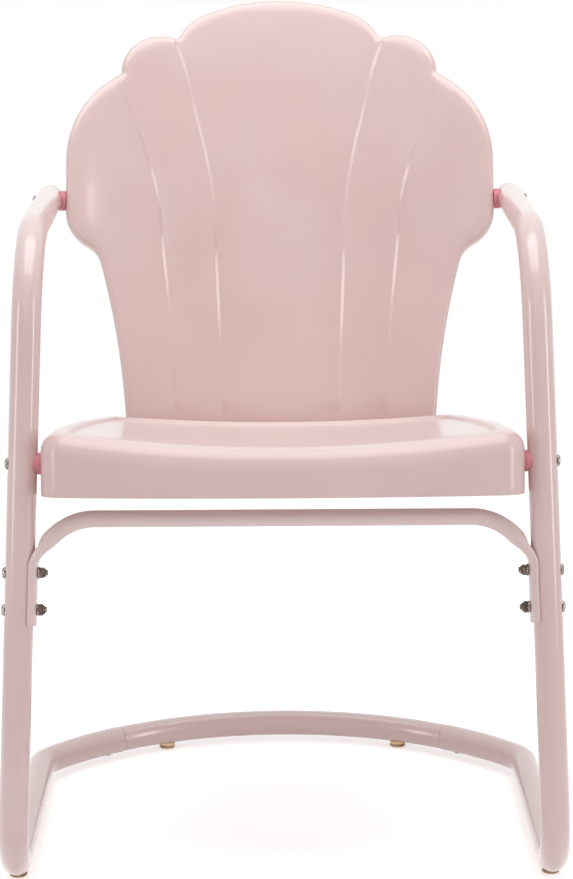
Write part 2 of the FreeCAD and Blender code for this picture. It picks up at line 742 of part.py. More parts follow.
def back_circles():
    """Circles of the right half, from the top of the crown down to the bottom corner."""
    crown = (0.0, back_top - size("back_crown_radius"), size("back_crown_radius"))
    reach = size("back_crown_radius") - size("shoulder_radius")
    half = size("shoulder_half_spacing")
    shoulder = (half, crown[1] + math.sqrt(reach ** 2 - half ** 2), size("shoulder_radius"))
    lobe_up = back_bolt_up + size("inner_lobe_above_bolt")
    lobe = (size("inner_lobe_half_spacing"), lobe_up, size("inner_lobe_radius"))
    side_x = size("back_half_width") - size("side_lobe_radius")
    side = (side_x, back_bolt_up + size("side_lobe_above_bolt"), size("side_lobe_radius"))
    hip_x = size("back_half_width") - size("hip_radius")
    hip = (hip_x, back_bolt_up - size("hip_below_bolt"), size("hip_radius"))
    waist_rise = back_bolt_up + size("waist_drop")
    waist_radius = (waist_rise ** 2 + size("waist_flare") ** 2) / (2 * size("waist_flare"))
    waist = (size("waist_half_width") + waist_radius, -size("waist_drop"), waist_radius)
    notch = size("notch_radius")
    inner_notch = rolling(shoulder, shoulder[2] + notch, lobe, lobe[2] + notch, 1, notch)
    outer_notch = rolling(lobe, lobe[2] + notch, side, side[2] + notch, 1, notch)
    fillet = size("hip_fillet_radius")
    hip_fillet = rolling(hip, hip[2] + fillet, waist, waist[2] - fillet, -1, fillet)
    corner_z = back_bottom + size("back_corner_radius")
    corner_run = math.sqrt((waist[2] + size("back_corner_radius")) ** 2 - (corner_z - waist[1]) ** 2)
    corner = (waist[0] - corner_run, corner_z, size("back_corner_radius"))
    return crown, shoulder, inner_notch, lobe, outer_notch, side, hip, hip_fillet, waist, corner


def back_height(seat_height):
    """Height in the back's frame of a point of its middle line, from the height over the seat bolts."""
    return -bow * math.sin(middle_lean - tilt - seat_height / bow)


back_bottom = back_height(size("back_bottom_margin") - size("seat_skirt"))
HOLLOW = (2, 4, 7, 8)


def back_outline(name, offset):
    """Outline of the right half in the back's frame, moved inwards by an offset, as one closed wire."""
    circles = []
    for number, (x, z, radius) in enumerate(back_circles()):
        circles.append((x, z, radius + offset if number in HOLLOW else radius - offset))
    joints = [touch(circles[i], circles[i + 1]) for i in (0, 1, 2, 3, 4)]
    joints.append((circles[5][0] + circles[5][2], circles[5][1]))
    joints.append((circles[6][0] + circles[6][2], circles[6][1]))
    joints += [touch(circles[i], circles[i + 1]) for i in (6, 7, 8)]
    joints.append((circles[9][0], circles[9][1] - circles[9][2]))
    arcs_after = (1, 2, 3, 4, 5, None, 6, 7, 8, 9)
    joints = [(0, circles[0][1] + circles[0][2])] + joints
    front = -size("back_half_width")
    edges = []
    for i, number in enumerate((0,) + arcs_after):
        start = V(joints[i][0], front, joints[i][1])
        end = V(joints[i + 1][0], front, joints[i + 1][1])
        if number is None:
            edges.append(line(start, end))
            continue
        centre = V(circles[number][0], front, circles[number][1])
        middle = centre + ((start + end) / 2 - centre).normalize() * circles[number][2]
        edges.append(arc(start, middle, end))
    top = V(0, front, joints[0][1])
    bottom = V(0, front, joints[-1][1])
    edges += [line(end, bottom), line(bottom, top)]
    return path_feature(name, edges)


def back_section(name, offset, depth):
    """Cross-section of the right half of the bowed slab, between its front and rear arcs."""
    half = size("back_half_width") + size("tube_diameter")

    def on_wrap(x, radius, back):
        return V(x, back - wrap + math.sqrt(radius ** 2 - x ** 2), 0)

    front = [on_wrap(x, wrap + offset, 0) for x in (0, half / 2, half)]
    rear = [on_wrap(x, wrap, depth) for x in (half, half / 2, 0)]
    return shape_feature(name, Part.Face(Part.Wire([
        arc(*front), line(front[-1], rear[0]), arc(*rear), line(rear[-1], front[0]),
    ])))


def back_form(name, sheets, extra_depth):
    """Right half of the outside or inside of the pressed back, in the back's own frame."""
    offset = sheets * size("sheet_thickness")
    outline = back_outline(f"{name}_outline", offset)
    column = add(
        "Part::Extrusion", f"{name}_column", Base=outline, DirMode="Custom", Dir=V(0, 1, 0), Solid=True,
        FaceMakerClass="Part::FaceMakerBullseye", LengthFwd="2 * S.back_half_width",
    )
    section = back_section(f"{name}_section", offset, size("rim_depth") + extra_depth)
    slab = add(
        "Part::Revolution", f"{name}_slab", Source=section, Base=V(0, bow, 0), Axis=X_AXIS,
        Angle=SLAB_ANGLE, Symmetric=True, Solid=True,
    )
    blank = common(f"{name}_blank", [column, slab])
    doc.recompute()
    middle = Part.Vertex(V(0, offset, 0))
    front = min(blank.Shape.Faces, key=lambda face: face.distToShape(middle)[0])
    edges = blank.Shape.Edges
    rim = [number for number in edges_of(blank.Shape, front) if edges[number - 1].CenterOfMass.x > seating]
    rounded = round_edges(f"{name}_rounded", blank, [(number, size("rim_roll") - offset) for number in rim])
    return column, rounded


back_column, back_outside = back_form("back_outside", 0, 0.0)
inner_column, back_inside = back_form("back_inside", 1, INNER_REACH)


def back_point(x, up, behind):
    """Point at a plan position on the back, a distance behind its front face, square to the sheet's wrap."""
    spread_x = x * (wrap + behind) / wrap
    radial = bow + wrap - math.sqrt((wrap + behind) ** 2 - spread_x ** 2)
    return V(spread_x, bow - math.sqrt(radial ** 2 - up ** 2), up)


def bead_path(name, notch, knee, foot, wall):
    """Line of a bead: straight from its foot to its knee, then curving out to the notch."""
    knee_up = -size("bead_knee_drop")
    seat_edge = size("seat_top") + foot ** 2 / (2 * size("seat_dish_radius"))
    foot_up = back_height(seat_edge - size("seat_roll") * BEAD_TUCK)
    slope = (knee - foot) / (knee_up - foot_up)
    rise = notch[1] - knee_up
    curl = (notch[0] - knee - slope * rise) / rise ** 2
    sunk = size("bead_radius") - size("bead_height")
    first_up = foot_up + wall
    points = []
    for i in range(BEAD_STATIONS):
        up = first_up + (notch[1] - first_up) * i / (BEAD_STATIONS - 1)
        above = max(up - knee_up, 0)
        x = knee + slope * (up - knee_up) + curl * above ** 2
        points.append(back_point(x, up, sunk))
    curve = Part.BSplineCurve()
    curve.interpolate(points)
    return path_feature(name, [curve.toShape()])


def between(circles, first, second):
    """Plan position of the notch that a small circle rounds."""
    start = touch(circles[first], circles[first + 1])
    end = touch(circles[first + 1], circles[second])
    return (start[0] + end[0]) / 2, (start[1] + end[1]) / 2


circles = back_circles()
BEADS = (
    ("inner_bead", between(circles, 1, 3), size("inner_bead_knee"), size("inner_bead_foot")),
    ("outer_bead", between(circles, 3, 5), size("outer_bead_knee"), size("outer_bead_foot")),
)


def bead_bars(name, column, sheets):
    """Bars that press the right half's beads, held inside the outline. Inner ones start above the foot."""
    radius = f"S.bead_radius - {sheets} * S.sheet_thickness"
    wall = 2 * sheets * size("sheet_thickness")
    bars = []
    for bead, notch, knee, foot in BEADS:
        path = bead_path(f"{name}_{bead}_line", notch, knee, foot, wall)
        bar = tube_sweep(f"{name}_{bead}_bar", path, radius)
        bars.append(common(f"{name}_{bead}", [bar, column]))
    return bars


raised = fuse("back_raised", [back_outside] + bead_bars("outside", back_column, 0))
back_half = cut("back_hollowed", raised, [back_inside])
for groove in bead_bars("inside", inner_column, 1):
    back_half = cut(f"back_half_{groove.Name}", back_half, [groove])
back_pressing = fuse("back_pressing", [back_half, mirrored("left_back_half", back_half)])
back_pressing.Placement = back_frame
arm_hole_start = arm_bolt - X_AXIS * size("rim_roll")
arm_hole = rod("arm_hole", "S.bolt_hole / 2", "S.tube_diameter / 2", arm_hole_start, X_AXIS)
other_arm_hole = mirrored("other_arm_hole", arm_hole)
back_shell = cut("back_shell", back_pressing, [arm_hole, other_arm_hole] + rear_holes)

# Spacers between the tubes and the pressed sheet, each with a saddle that cups its tube.


def spacers(name, point, gap, way):
    """Pair of spacers from a sheet wall to a tube whose axis passes through the point."""
    wall_x = point.x - tube_radius - size(gap)
    start = V(wall_x + seating, point.y, point.z)
    disc = rod(f"{name}_disc", "S.spacer_diameter / 2", f"S.{gap} + S.spacer_wrap", start, X_AXIS)
    saddle = rod(
        f"{name}_saddle", "S.tube_diameter / 2 + S.seating", "4 * S.tube_diameter",
        point - way * (2 * size("tube_diameter")), way,
    )
    hole = rod(f"{name}_hole", "S.bolt_hole / 2", "S.tube_diameter", start - X_AXIS, X_AXIS)
    right = cut(f"{name}_right", disc, [saddle, hole])
    return add("Part::Compound", name, Links=[right, mirrored(f"{name}_left", right)])


spacers("seat_spacers", seat_bolt, "seat_gap", leg_direction)
spacers("arm_spacers", arm_at_bolt, "arm_gap", arm_direction)


seat_face = tube_radius + size("seat_gap") + sheet_wall
arm_face = tube_radius + size("arm_gap") + sheet_wall
bolt_stack("seat", [seat_bolt], "S.seat_gap + S.sheet_thickness", seat_face)
bolt_stack("arm", [arm_at_bolt], "S.arm_gap + S.sheet_thickness", arm_face)

# Bolts that join the seat's rear wall to the back: heads under the seat, nuts behind the back.
rear_stack = "2 * S.sheet_thickness + S.press_gap + S.washer_thickness + S.nut_height + S.bolt_end"
rear_bolt = bolt("rear_bolt", rear_stack)
head_radius = wrap - sheet_wall - 2 * seating
washer_radius = wrap + sheet_wall + 2 * size("press_gap")
spread("back_bolts", rear_bolt, pair(rear_bolt_place(head_radius)))


def turned_back(place):
    """The same place, facing the other way."""
    return facing(-place.Rotation.multVec(Z_AXIS), place.Base)


spread("back_washers", washer, pair(turned_back(rear_bolt_place(washer_radius))))
spread("back_nuts", nut, pair(turned_back(rear_bolt_place(washer_radius + washer_step))))

NODES = (
    "left_arm_and_leg", "right_arm_and_leg", "arm_end_caps",
    "left_runner", "right_runner", "rear_cross_tube", "rear_tube_screws", "front_feet", "rear_feet",
    "cross_brace", "brace_bolts", "brace_washers", "brace_nuts",
    "seat_pan", "seat_spacers", "seat_bolts", "seat_washers", "seat_nuts",
    "back_shell", "arm_spacers", "arm_bolts", "arm_washers", "arm_nuts",
    "back_bolts", "back_washers", "back_nuts",
)

doc.recompute()
for item in doc.Objects:
    if "Invalid" in item.State or "Error" in item.State:
        raise RuntimeError(f"{item.Label} failed: {item.State}")
os.makedirs("parts", exist_ok=True)
for name in NODES:
    shape = doc.getObject(name).Shape
    if shape.isNull() or not shape.isValid():
        raise RuntimeError(f"{name} has no valid shape")
    shape.exportStep(os.path.join("parts", f"{name}.step"))
    print(f"{name}: {len(shape.Solids)} solids, {shape.Volume:.0f} mm3")
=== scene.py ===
"""Spring lawn chair: bent tube sides, pressed seat and scalloped back, built around the packed frame."""

import math

import bmesh
import bpy
import numpy as np
from bpy.props import FloatProperty, FloatVectorProperty, PointerProperty
from mathutils import Matrix, Vector
from mathutils.geometry import delaunay_2d_cdt
from mathutils.kdtree import KDTree


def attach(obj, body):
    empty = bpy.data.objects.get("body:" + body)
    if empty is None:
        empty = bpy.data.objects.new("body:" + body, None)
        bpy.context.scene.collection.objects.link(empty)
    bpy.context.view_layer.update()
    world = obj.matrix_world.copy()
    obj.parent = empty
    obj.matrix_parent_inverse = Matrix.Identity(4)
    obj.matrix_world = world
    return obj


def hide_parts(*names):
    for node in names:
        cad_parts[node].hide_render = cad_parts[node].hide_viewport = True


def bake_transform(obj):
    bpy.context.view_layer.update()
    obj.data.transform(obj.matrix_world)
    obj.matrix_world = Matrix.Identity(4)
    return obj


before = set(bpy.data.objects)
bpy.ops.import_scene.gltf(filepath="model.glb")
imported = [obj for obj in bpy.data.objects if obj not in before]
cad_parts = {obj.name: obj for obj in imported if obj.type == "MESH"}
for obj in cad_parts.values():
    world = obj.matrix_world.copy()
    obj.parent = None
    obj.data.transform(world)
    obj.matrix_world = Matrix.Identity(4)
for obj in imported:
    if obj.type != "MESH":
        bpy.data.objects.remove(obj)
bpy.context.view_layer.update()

bl_info = {
    "name": "Spring Lawn Chair",
    "version": (1, 0, 0),
    "blender": (4, 5, 0),
    "location": "3D View > Sidebar > Lawn Chair",
    "description": "Builds a spring lawn chair of bent tube and pressed sheet around its packed frame",
    "category": "Add Mesh",
}

MM = 0.001
MIRROR = np.array([-1.0, 1.0, 1.0])
X_AXIS, Y_AXIS, Z_AXIS = np.eye(3)


# Settings that a user would change.


def length(label, description, millimetres):
    return FloatProperty(
        name=label, description=description, default=millimetres * MM, unit="LENGTH", precision=5
    )


def angle(label, description, degrees):
    return FloatProperty(
        name=label, description=description, default=math.radians(degrees), subtype="ANGLE", precision=4
    )


def amount(label, description, value, unit="NONE"):
    return FloatProperty(name=label, description=description, default=value, unit=unit)


def colour(label, description, *rgb):
    """Colour property, given as it looks on screen, from 0 to 255."""
    return FloatVectorProperty(
        name=label, description=description, default=[linear(part / 255) for part in rgb],
        subtype="COLOR", size=3, min=0.0, max=1.0,
    )


def linear(part):
    return part / 12.92 if part <= 0.04045 else ((part + 0.055) / 1.055) ** 2.4


def settings(group):
    return getattr(bpy.context.scene, f"lawn_chair_{group}")


class ChairTubes(bpy.types.PropertyGroup):
    """Bent tube of the sides, the rear and the brace."""

    tube_diameter: length("Tube", "Outer diameter of the side tubes", 29.2)
    tube_wall: length("Tube wall", "Wall of the side tubes", 1.2)
    rear_diameter: length("Rear tube", "Outer diameter of the rear tube between its joints", 28.2)
    rear_insert: length("Insert", "Length of the reduced ends of the rear tube", 34)
    rear_corner: length("Rear corner", "Radius of the bend from runner to rear tube", 47.5)
    rear_bow: length("Rear bow", "Radius of the bowed rear tube", 319)
    dent_radius: length("Dent", "Radius of the flat dents under the bolt heads", 8)
    dent_depth: length("Dent depth", "Depth of the dents under the bolt heads", 1)
    brace_diameter: length("Brace", "Outer diameter of the brace tube", 16.8)
    brace_bend: length("Brace bend", "Radius of the bends of the brace", 59.5)
    brace_turn: angle("Brace turn", "Angle through which the brace bends before it is flattened", 46)
    tab_thickness: length("Tab", "Thickness of the flattened ends of the brace", 3.4)


class ChairSheets(bpy.types.PropertyGroup):
    """Pressed seat and back."""

    sheet: length("Sheet", "Thickness of the pressed sheets", 1.5)
    grid: length("Mesh grid", "Spacing of the mesh points on the pressed faces", 3)
    seat_half_width: length("Seat half width", "Half the width of the seat", 235.6)
    seat_front: length("Seat front", "Reach of the seat in front of its bolts", 56.2)
    seat_rear: length("Seat rear", "Reach of the seat behind its bolts", 344)
    seat_dish: length("Seat dish", "Radius of the seat's hollow from side to side", 1600)
    seat_roll: length("Seat roll", "Radius of the seat's rolled edge", 23)
    seat_recess: length("Seat recess", "Depth of the seat's face below the crest of its edge", 3.8)
    seat_recess_width: length("Seat recess width", "Width of the step from crest to face", 9)
    seat_skirt: length("Seat skirt", "Depth of the seat's lower edge below its bolts", 30.5)
    back_bow: length("Back bow", "Radius of the back from bottom to top", 1544)
    back_wrap: length("Back wrap", "Radius of the back from side to side", 434)
    back_rim: length("Back rim", "Depth of the back's turned rim", 27)
    back_roll: length("Back roll", "Radius of the back's rim edge", 7)
    back_fall: length("Back fall", "Depth by which the face falls away towards the rim of the outer lobes", 3.6)
    back_fall_width: length("Back fall width", "Width of the band along the rim where the face falls away", 23)
    bead_height: length("Bead height", "Height of the back's beads at their steep side", 2.9)
    bead_face: angle("Bead face", "Angle by which the steep side of a bead faces outwards", 29)
    bead_inner: length("Bead inner side", "Width of the first fall on a bead's inner side", 9)
    bead_tail: length("Bead tail", "Width over which a bead's inner side dies away", 38)
    lobe_scoop: length("Lobe scoop", "Depth of the shallow hollow between two beads", 0.5)


class ChairFittings(bpy.types.PropertyGroup):
    """Bolts, spacers, glides and plugs."""

    bolt_diameter: length("Bolt", "Diameter of the bolt shanks", 6)
    head_diameter: length("Bolt head", "Diameter of the button heads", 11.9)
    head_height: length("Head height", "Height of the button heads", 3.5)
    socket_flats: length("Socket", "Width across the flats of the hexagon sockets", 4)
    socket_depth: length("Socket depth", "Depth of the hexagon sockets", 2)
    washer_diameter: length("Washer", "Diameter of the washers", 12)
    washer_thickness: length("Washer thickness", "Thickness of the washers", 1.2)
    nut_flats: length("Nut", "Width across the flats of the locking nuts", 10)
    nut_height: length("Nut height", "Height of the locking nuts", 6)
    spacer_diameter: length("Spacer", "Diameter of the plastic spacers", 21.2)
    seat_gap: length("Seat gap", "Gap between leg and seat", 4.1)
    arm_gap: length("Arm gap", "Gap between arm and back", 4.4)
    spacer_wrap: length("Saddle", "Height by which the spacers cup the tubes", 4.4)
    foot_diameter: length("Glide", "Diameter of the glides under the tubes", 17.9)
    foot_height: length("Glide height", "Height of the glides under the tubes", 5.2)
    cap_crown: length("Plug crown", "Height of the plugs in the arm ends", 4)


class ChairFinish(bpy.types.PropertyGroup):
    """Colours of the finishes."""

    paint: colour("Paint", "Gloss powder coat of tubes and sheets", 226, 198, 195)
    paint_shade: colour("Paint shade", "Slightly deeper tone that the coat drifts to", 221, 189, 186)
    # Painted light: the powder coat is painted towards this paler tone where it faces up, standing in for light
    # from above.
    painted_light_tone: colour("Pale paint", "Tone towards which the coat pales where it faces the sky", 255, 250, 247)
    spacer: colour("Spacers", "Moulded plastic of the spacers", 220, 138, 150)
    plug: colour("Plugs", "Moulded plastic of the arm end plugs", 224, 194, 192)
    glide: colour("Glides", "Clear amber plastic of the glides", 232, 206, 166)
    glide_core: colour("Glide core", "Deeper tone inside the glides", 206, 166, 118)
    steel: colour("Zinc", "Plated steel of bolts and washers", 172, 165, 158)
    nut: colour("Nuts", "Plated steel of the nuts", 116, 102, 93)
    nylon: colour("Nylon", "Ring in the locking nuts", 214, 212, 206)


class ChairStage(bpy.types.PropertyGroup):
    """Camera, lamps and floor."""

    lens: amount("Lens", "Focal length of the camera in millimetres", 116.56)
    camera_x: length("Camera across", "Place of the camera across the chair", -12.57)
    camera_y: length("Camera back", "Place of the camera in front of the chair", -2943.15)
    camera_z: length("Camera height", "Height of the camera", 1001.79)
    pitch: angle("Pitch", "Angle by which the camera looks down", 11.4765)
    yaw: angle("Yaw", "Angle by which the camera looks to the right", 0.3448)
    roll: angle("Roll", "Roll of the camera", -0.2734)
    world_strength: amount("Room light", "Strength of the light from all around", 0.42)
    top_power: amount("Top lamp", "Power of the lamp overhead", 38, "POWER")
    right_power: amount("Right lamp", "Power of the lamp at the right", 12, "POWER")
    left_power: amount("Left lamp", "Power of the lamp at the left", 9, "POWER")
    front_power: amount("Front lamp", "Power of the lamp in front", 2.5, "POWER")
    floor_glow: amount("Floor glow", "Light that lifts the floor's white where the camera sees it", 0.52)
    floor_reach: amount("Floor", "Half width of the floor", 30, "LENGTH")


SETTINGS = (
    ("tubes", ChairTubes), ("sheets", ChairSheets), ("fittings", ChairFittings), ("finish", ChairFinish),
    ("stage", ChairStage),
)


# Material nodes. Shader maths reads as Python arithmetic on sockets.


class Wire:
    """Output socket of a number, on which arithmetic adds Math nodes."""

    def __init__(self, coat, socket):
        self.coat = coat
        self.socket = socket

    def combine(self, operation, first, second):
        return self.coat.node("ShaderNodeMath", {"operation": operation}, {0: first, 1: second})

    def __add__(self, other):
        return self.combine("ADD", self, other)

    def __radd__(self, other):
        return self.combine("ADD", other, self)

    def __mul__(self, other):
        return self.combine("MULTIPLY", self, other)

    def __rmul__(self, other):
        return self.combine("MULTIPLY", other, self)


class Coat:
    """Node tree of one finish."""

    def __init__(self, name, tree=None):
        if tree is None:
            self.material = bpy.data.materials.new(name)
            self.material.use_nodes = True
            tree = self.material.node_tree
        self.tree = tree
        self.tree.nodes.clear()

    def node(self, kind, settings=None, sockets=None, output=0):
        """Add a node: its settings first, then the values or links of its sockets. Gives one output."""
        made = self.tree.nodes.new(kind)
        for key, value in (settings or {}).items():
            setattr(made, key, value)
        for key, value in (sockets or {}).items():
            if isinstance(value, Wire):
                self.tree.links.new(value.socket, made.inputs[key])
            elif made.inputs[key].type == "RGBA":
                made.inputs[key].default_value = (*value, 1.0)
            else:
                made.inputs[key].default_value = value
        return Wire(self, made.outputs[output])

    def place(self):
        return self.node("ShaderNodeTexCoord", output="Object")

    def noise(self, scale, detail=2.0, roughness=0.5):
        sockets = {"Vector": self.place(), "Scale": scale, "Detail": detail, "Roughness": roughness}
        return self.node("ShaderNodeTexNoise", {}, sockets)

    def clamped(self, value, low, high):
        """Share from 0 to 1 of a value between a low and a high mark."""
        return self.node(
            "ShaderNodeMapRange", {"clamp": True, "interpolation_type": "SMOOTHSTEP"},
            {"Value": value, "From Min": low, "From Max": high},
        )

    def blend(self, share, first, second):
        """Mix of two colours."""
        return self.node("ShaderNodeMix", {"data_type": "RGBA"}, {0: share, 6: first, 7: second}, output=2)

    def bump(self, height, distance, strength, below=None):
        sockets = {"Height": height, "Distance": distance, "Strength": strength}
        if below:
            sockets["Normal"] = below
        return self.node("ShaderNodeBump", {}, sockets)

    def finish(self, **sockets):
        """Principled surface with the given sockets, by name with spaces as underscores."""
        named = {key.replace("_", " "): value for key, value in sockets.items()}
        self.end(self.node("ShaderNodeBsdfPrincipled", {}, named))
        return self.material

    def end(self, surface, kind="ShaderNodeOutputMaterial"):
        self.tree.links.new(surface.socket, self.tree.nodes.new(kind).inputs["Surface"])


def powder_coat(name, ripple, gloss=1.0, painted_light_lift=0.0, painted_top_light=0.22, top_light_start=0.3):
    """Gloss powder coat with a faint orange peel, a slow ripple as thin metal shows, and painted light: faces
    that look up are painted paler, and a whole coat can be painted paler by an even share.
    """
    tones = settings("finish")
    coat = Coat(name)
    drift = coat.clamped(coat.noise(7.0, 3.0), 0.3, 0.75)
    cloud = coat.clamped(coat.noise(42.0, 4.0), 0.35, 0.8)
    # Painted light: the colour is blended towards the pale tone by an even share, and by a share that grows
    # where the face looks up, standing in for light from above.
    facing = coat.node("ShaderNodeNewGeometry", output="Normal")
    height = coat.node("ShaderNodeSeparateXYZ", {}, {"Vector": facing}, output="Z")
    upwards = coat.clamped(height, top_light_start, 1.0)
    tone = coat.blend(drift * 0.8 + cloud * 0.1, tones.paint, tones.paint_shade)
    tone = coat.blend(painted_light_lift + painted_top_light * upwards, tone, tones.painted_light_tone)
    peel = coat.bump(coat.noise(420.0, 1.0), 0.00003, 0.3)
    relief = coat.bump(coat.noise(16.0, 1.0), ripple, 0.5, peel)
    sheen = 0.38 - 0.16 * gloss + 0.03 * coat.noise(60.0, 3.0)
    return coat.finish(
        Base_Color=tone, Roughness=sheen, Normal=relief, IOR=1.5, Coat_Weight=0.65 * gloss,
        Coat_Roughness=0.20 - 0.11 * gloss, Coat_IOR=1.5,
    )


def moulded_plastic(name, tone, shade, roughness):
    """Satin moulded plastic with a fine grain."""
    coat = Coat(name)
    drift = coat.clamped(coat.noise(90.0, 3.0), 0.3, 0.8)
    grain = coat.bump(coat.noise(1400.0, 2.0), 0.00004, 0.4)
    return coat.finish(
        Base_Color=coat.blend(drift, tone, shade), Roughness=roughness + 0.1 * coat.noise(300.0, 2.0),
        Normal=grain, IOR=1.49,
    )


def amber_plastic(name):
    """Clear amber plastic, cloudy inside and scuffed underneath."""
    tones = settings("finish")
    coat = Coat(name)
    cloud = coat.clamped(coat.noise(160.0, 3.0), 0.35, 0.7)
    scuff = coat.noise(900.0, 4.0)
    return coat.finish(
        Base_Color=coat.blend(cloud, tones.glide, tones.glide_core), Roughness=0.08 + 0.14 * scuff,
        Normal=coat.bump(scuff, 0.00003, 0.3), IOR=1.48, Transmission_Weight=0.85,
    )


def plated_steel(name, tone, roughness):
    """Zinc plated steel with fine turning marks and a mottled shine."""
    coat = Coat(name)
    mottle = coat.clamped(coat.noise(420.0, 4.0, 0.6), 0.42, 0.62)
    return coat.finish(
        Base_Color=coat.blend(mottle, tone, darker(tone, 0.34)), Metallic=1.0,
        Roughness=roughness + 0.16 * mottle, Normal=coat.bump(coat.noise(2200.0, 2.0), 0.00003, 0.5),
    )


def darker(tone, share):
    return tuple(part * share for part in tone)


FINISHES = {}


def finish_of(slot):
    """Material of a slot, made once."""
    if slot not in FINISHES:
        tones = settings("finish")
        make, *given = {
            # Painted light: every powder coat is painted paler where it faces up. The brace's copy is also
            # painted paler all over, against the shade under the seat, and the seat's top is painted paler more
            # strongly, standing in for its reflection.
            "frame_paint": (powder_coat, "tube_powder_coat", 0.00006),
            "brace_paint": (powder_coat, "brace_powder_coat", 0.00008, 1.0, 0.14),
            "seat_paint": (powder_coat, "seat_powder_coat", 0.00030, 0.6, 0.0, 0.42, 0.8),
            "back_paint": (powder_coat, "back_powder_coat", 0.00034),
            "cap_plastic": (moulded_plastic, "plug_plastic", tones.plug, tones.paint_shade, 0.30),
            "spacer_plastic": (
                moulded_plastic, "spacer_plastic", tones.spacer, darker(tones.spacer, 0.88), 0.40,
            ),
            "nylon": (moulded_plastic, "nylon_ring", tones.nylon, darker(tones.nylon, 0.9), 0.45),
            "glide_plastic": (amber_plastic, "glide_plastic"),
            "zinc_steel": (plated_steel, "zinc_steel", tones.steel, 0.20),
            "nut_steel": (plated_steel, "nut_steel", tones.nut, 0.26),
        }[slot]
        FINISHES[slot] = make(*given)
    return FINISHES[slot]


# Mesh making.


def unit(vector):
    return vector / np.linalg.norm(vector)


def add_item(name, data):
    item = bpy.data.objects.new(name, data)
    bpy.context.scene.collection.objects.link(item)
    return item


def make_piece(name, points, faces, slot, nodes, body=None, sharp=40.0, inserts=None):
    """Smooth mesh piece with its finish, which stands for some nodes and rides on a body."""
    mesh = bpy.data.meshes.new(name)
    mesh.from_pydata([tuple(point) for point in points], [], faces)
    mesh.materials.append(finish_of(slot))
    if inserts:
        mesh.materials.append(finish_of("nylon"))
        mesh.polygons.foreach_set("material_index", inserts)
    shell = bmesh.new()
    shell.from_mesh(mesh)
    bmesh.ops.recalc_face_normals(shell, faces=shell.faces)
    shell.to_mesh(mesh)
    shell.free()
    mesh.polygons.foreach_set("use_smooth", [True] * len(mesh.polygons))
    mesh.set_sharp_from_angle(angle=math.radians(sharp))
    mesh.update()
    piece = add_item(name, mesh)
    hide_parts(*nodes)
    if body:
        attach(piece, body)
    return piece


def skin(rings, closed=True):
    """Points and faces of a skin through rings that all have the same number of points, its ends closed."""
    count = len(rings[0])
    here = np.arange(count)
    on = (here + 1) % count
    faces = []
    for number in range(len(rings) - 1):
        low = number * count
        high = low + count
        faces += np.stack([low + here, low + on, high + on, high + here], axis=1).tolist()
    if closed:
        last = (len(rings) - 1) * count
        faces.append(list(range(count))[::-1])
        faces.append(list(range(last, last + count)))
    return np.concatenate(rings), faces


def joined(parts):
    """One set of points and faces from several."""
    faces = []
    start = 0
    for points, part_faces in parts:
        faces += [[start + corner for corner in face] for face in part_faces]
        start += len(points)
    return np.concatenate([points for points, _ in parts]), faces


def mirrored(part):
    """The same part on the other side of the chair."""
    points, faces = part
    return points * MIRROR, [face[::-1] for face in faces]


CLOSE_REACH = 0.016         # reach of the close samples on each side of a bolt, their spacing,
CLOSE_STEP = 0.0014         # and the least gap between any two samples
LEAST_STEP = 0.0009


class Route:
    """Centre line of a bent tube, sampled along straight runs and arcs."""

    def __init__(self, start):
        self.points = [np.array(start, float)]

    def run(self, end, step, close_to=()):
        """Straight run, sampled more closely next to some points."""
        start = self.points[-1]
        end = np.array(end, float)
        reach = np.linalg.norm(end - start)
        way = (end - start) / reach
        marks = list(np.linspace(0, reach, max(2, math.ceil(reach / step) + 1))[1:])
        for point in close_to:
            middle = float((point - start) @ way)
            close = np.arange(middle - CLOSE_REACH, middle + CLOSE_REACH, CLOSE_STEP)
            marks += [mark for mark in close if 0 < mark < reach]
        last = 0.0
        for mark in sorted(marks):
            if mark - last > LEAST_STEP or mark >= reach:
                self.points.append(start + way * mark)
                last = mark
        return self

    def turn(self, middle, end, step):
        """Arc through a middle point to an end."""
        start = self.points[-1]
        middle = np.array(middle, float)
        end = np.array(end, float)
        first = middle - start
        second = end - start
        normal = np.cross(first, second)
        across = first @ first * np.cross(second, normal) + second @ second * np.cross(normal, first)
        centre = start + across / (2 * normal @ normal)
        u = unit(start - centre)
        v = unit(np.cross(unit(normal), u))
        radius = np.linalg.norm(start - centre)
        sweep = math.atan2((end - centre) @ v, (end - centre) @ u) % (2 * math.pi)
        for turn in np.linspace(0, sweep, max(3, math.ceil(radius * sweep / step)))[1:]:
            self.points.append(centre + radius * (math.cos(turn) * u + math.sin(turn) * v))
        return self

    def frames(self, first_side):
        """Points, tangents and two square directions, carried along without twist."""
        points = np.array(self.points)
        tangents = np.empty_like(points)
        gaps = np.linalg.norm(np.diff(points, axis=0), axis=1)
        inner = (points[1:] - points[:-1]) / gaps[:, None]
        tangents[0] = inner[0]
        tangents[-1] = inner[-1]
        tangents[1:-1] = inner[:-1] / gaps[:-1, None] + inner[1:] / gaps[1:, None]
        tangents = np.array([unit(tangent) for tangent in tangents])
        sides = []
        side = np.array(first_side, float)
        for tangent in tangents:
            side = unit(side - tangent * (side @ tangent))
            sides.append(side)
        sides = np.array(sides)
        return points, tangents, sides, np.cross(tangents, sides)


def ring_turns(count):
    return 2 * math.pi * np.arange(count) / count


def tube_rings(frames, radii):
    """Circles along frames, each with its radius."""
    points, _, sides, others = frames
    turns = ring_turns(TURNS)
    across, up = np.cos(turns)[None, :, None], np.sin(turns)[None, :, None]
    around = across * sides[:, None, :] + up * others[:, None, :]
    return list(points[:, None, :] + around * np.asarray(radii)[:, None, None])


LATHE_POINTS = 48


def lathe(profile, count=LATHE_POINTS):
    """Rings of a turned shape about its own Z axis, from pairs of radius and height."""
    turns = ring_turns(count)
    return [
        np.stack([radius * np.cos(turns), radius * np.sin(turns), np.full(count, height)], axis=1)
        for radius, height in profile
    ]


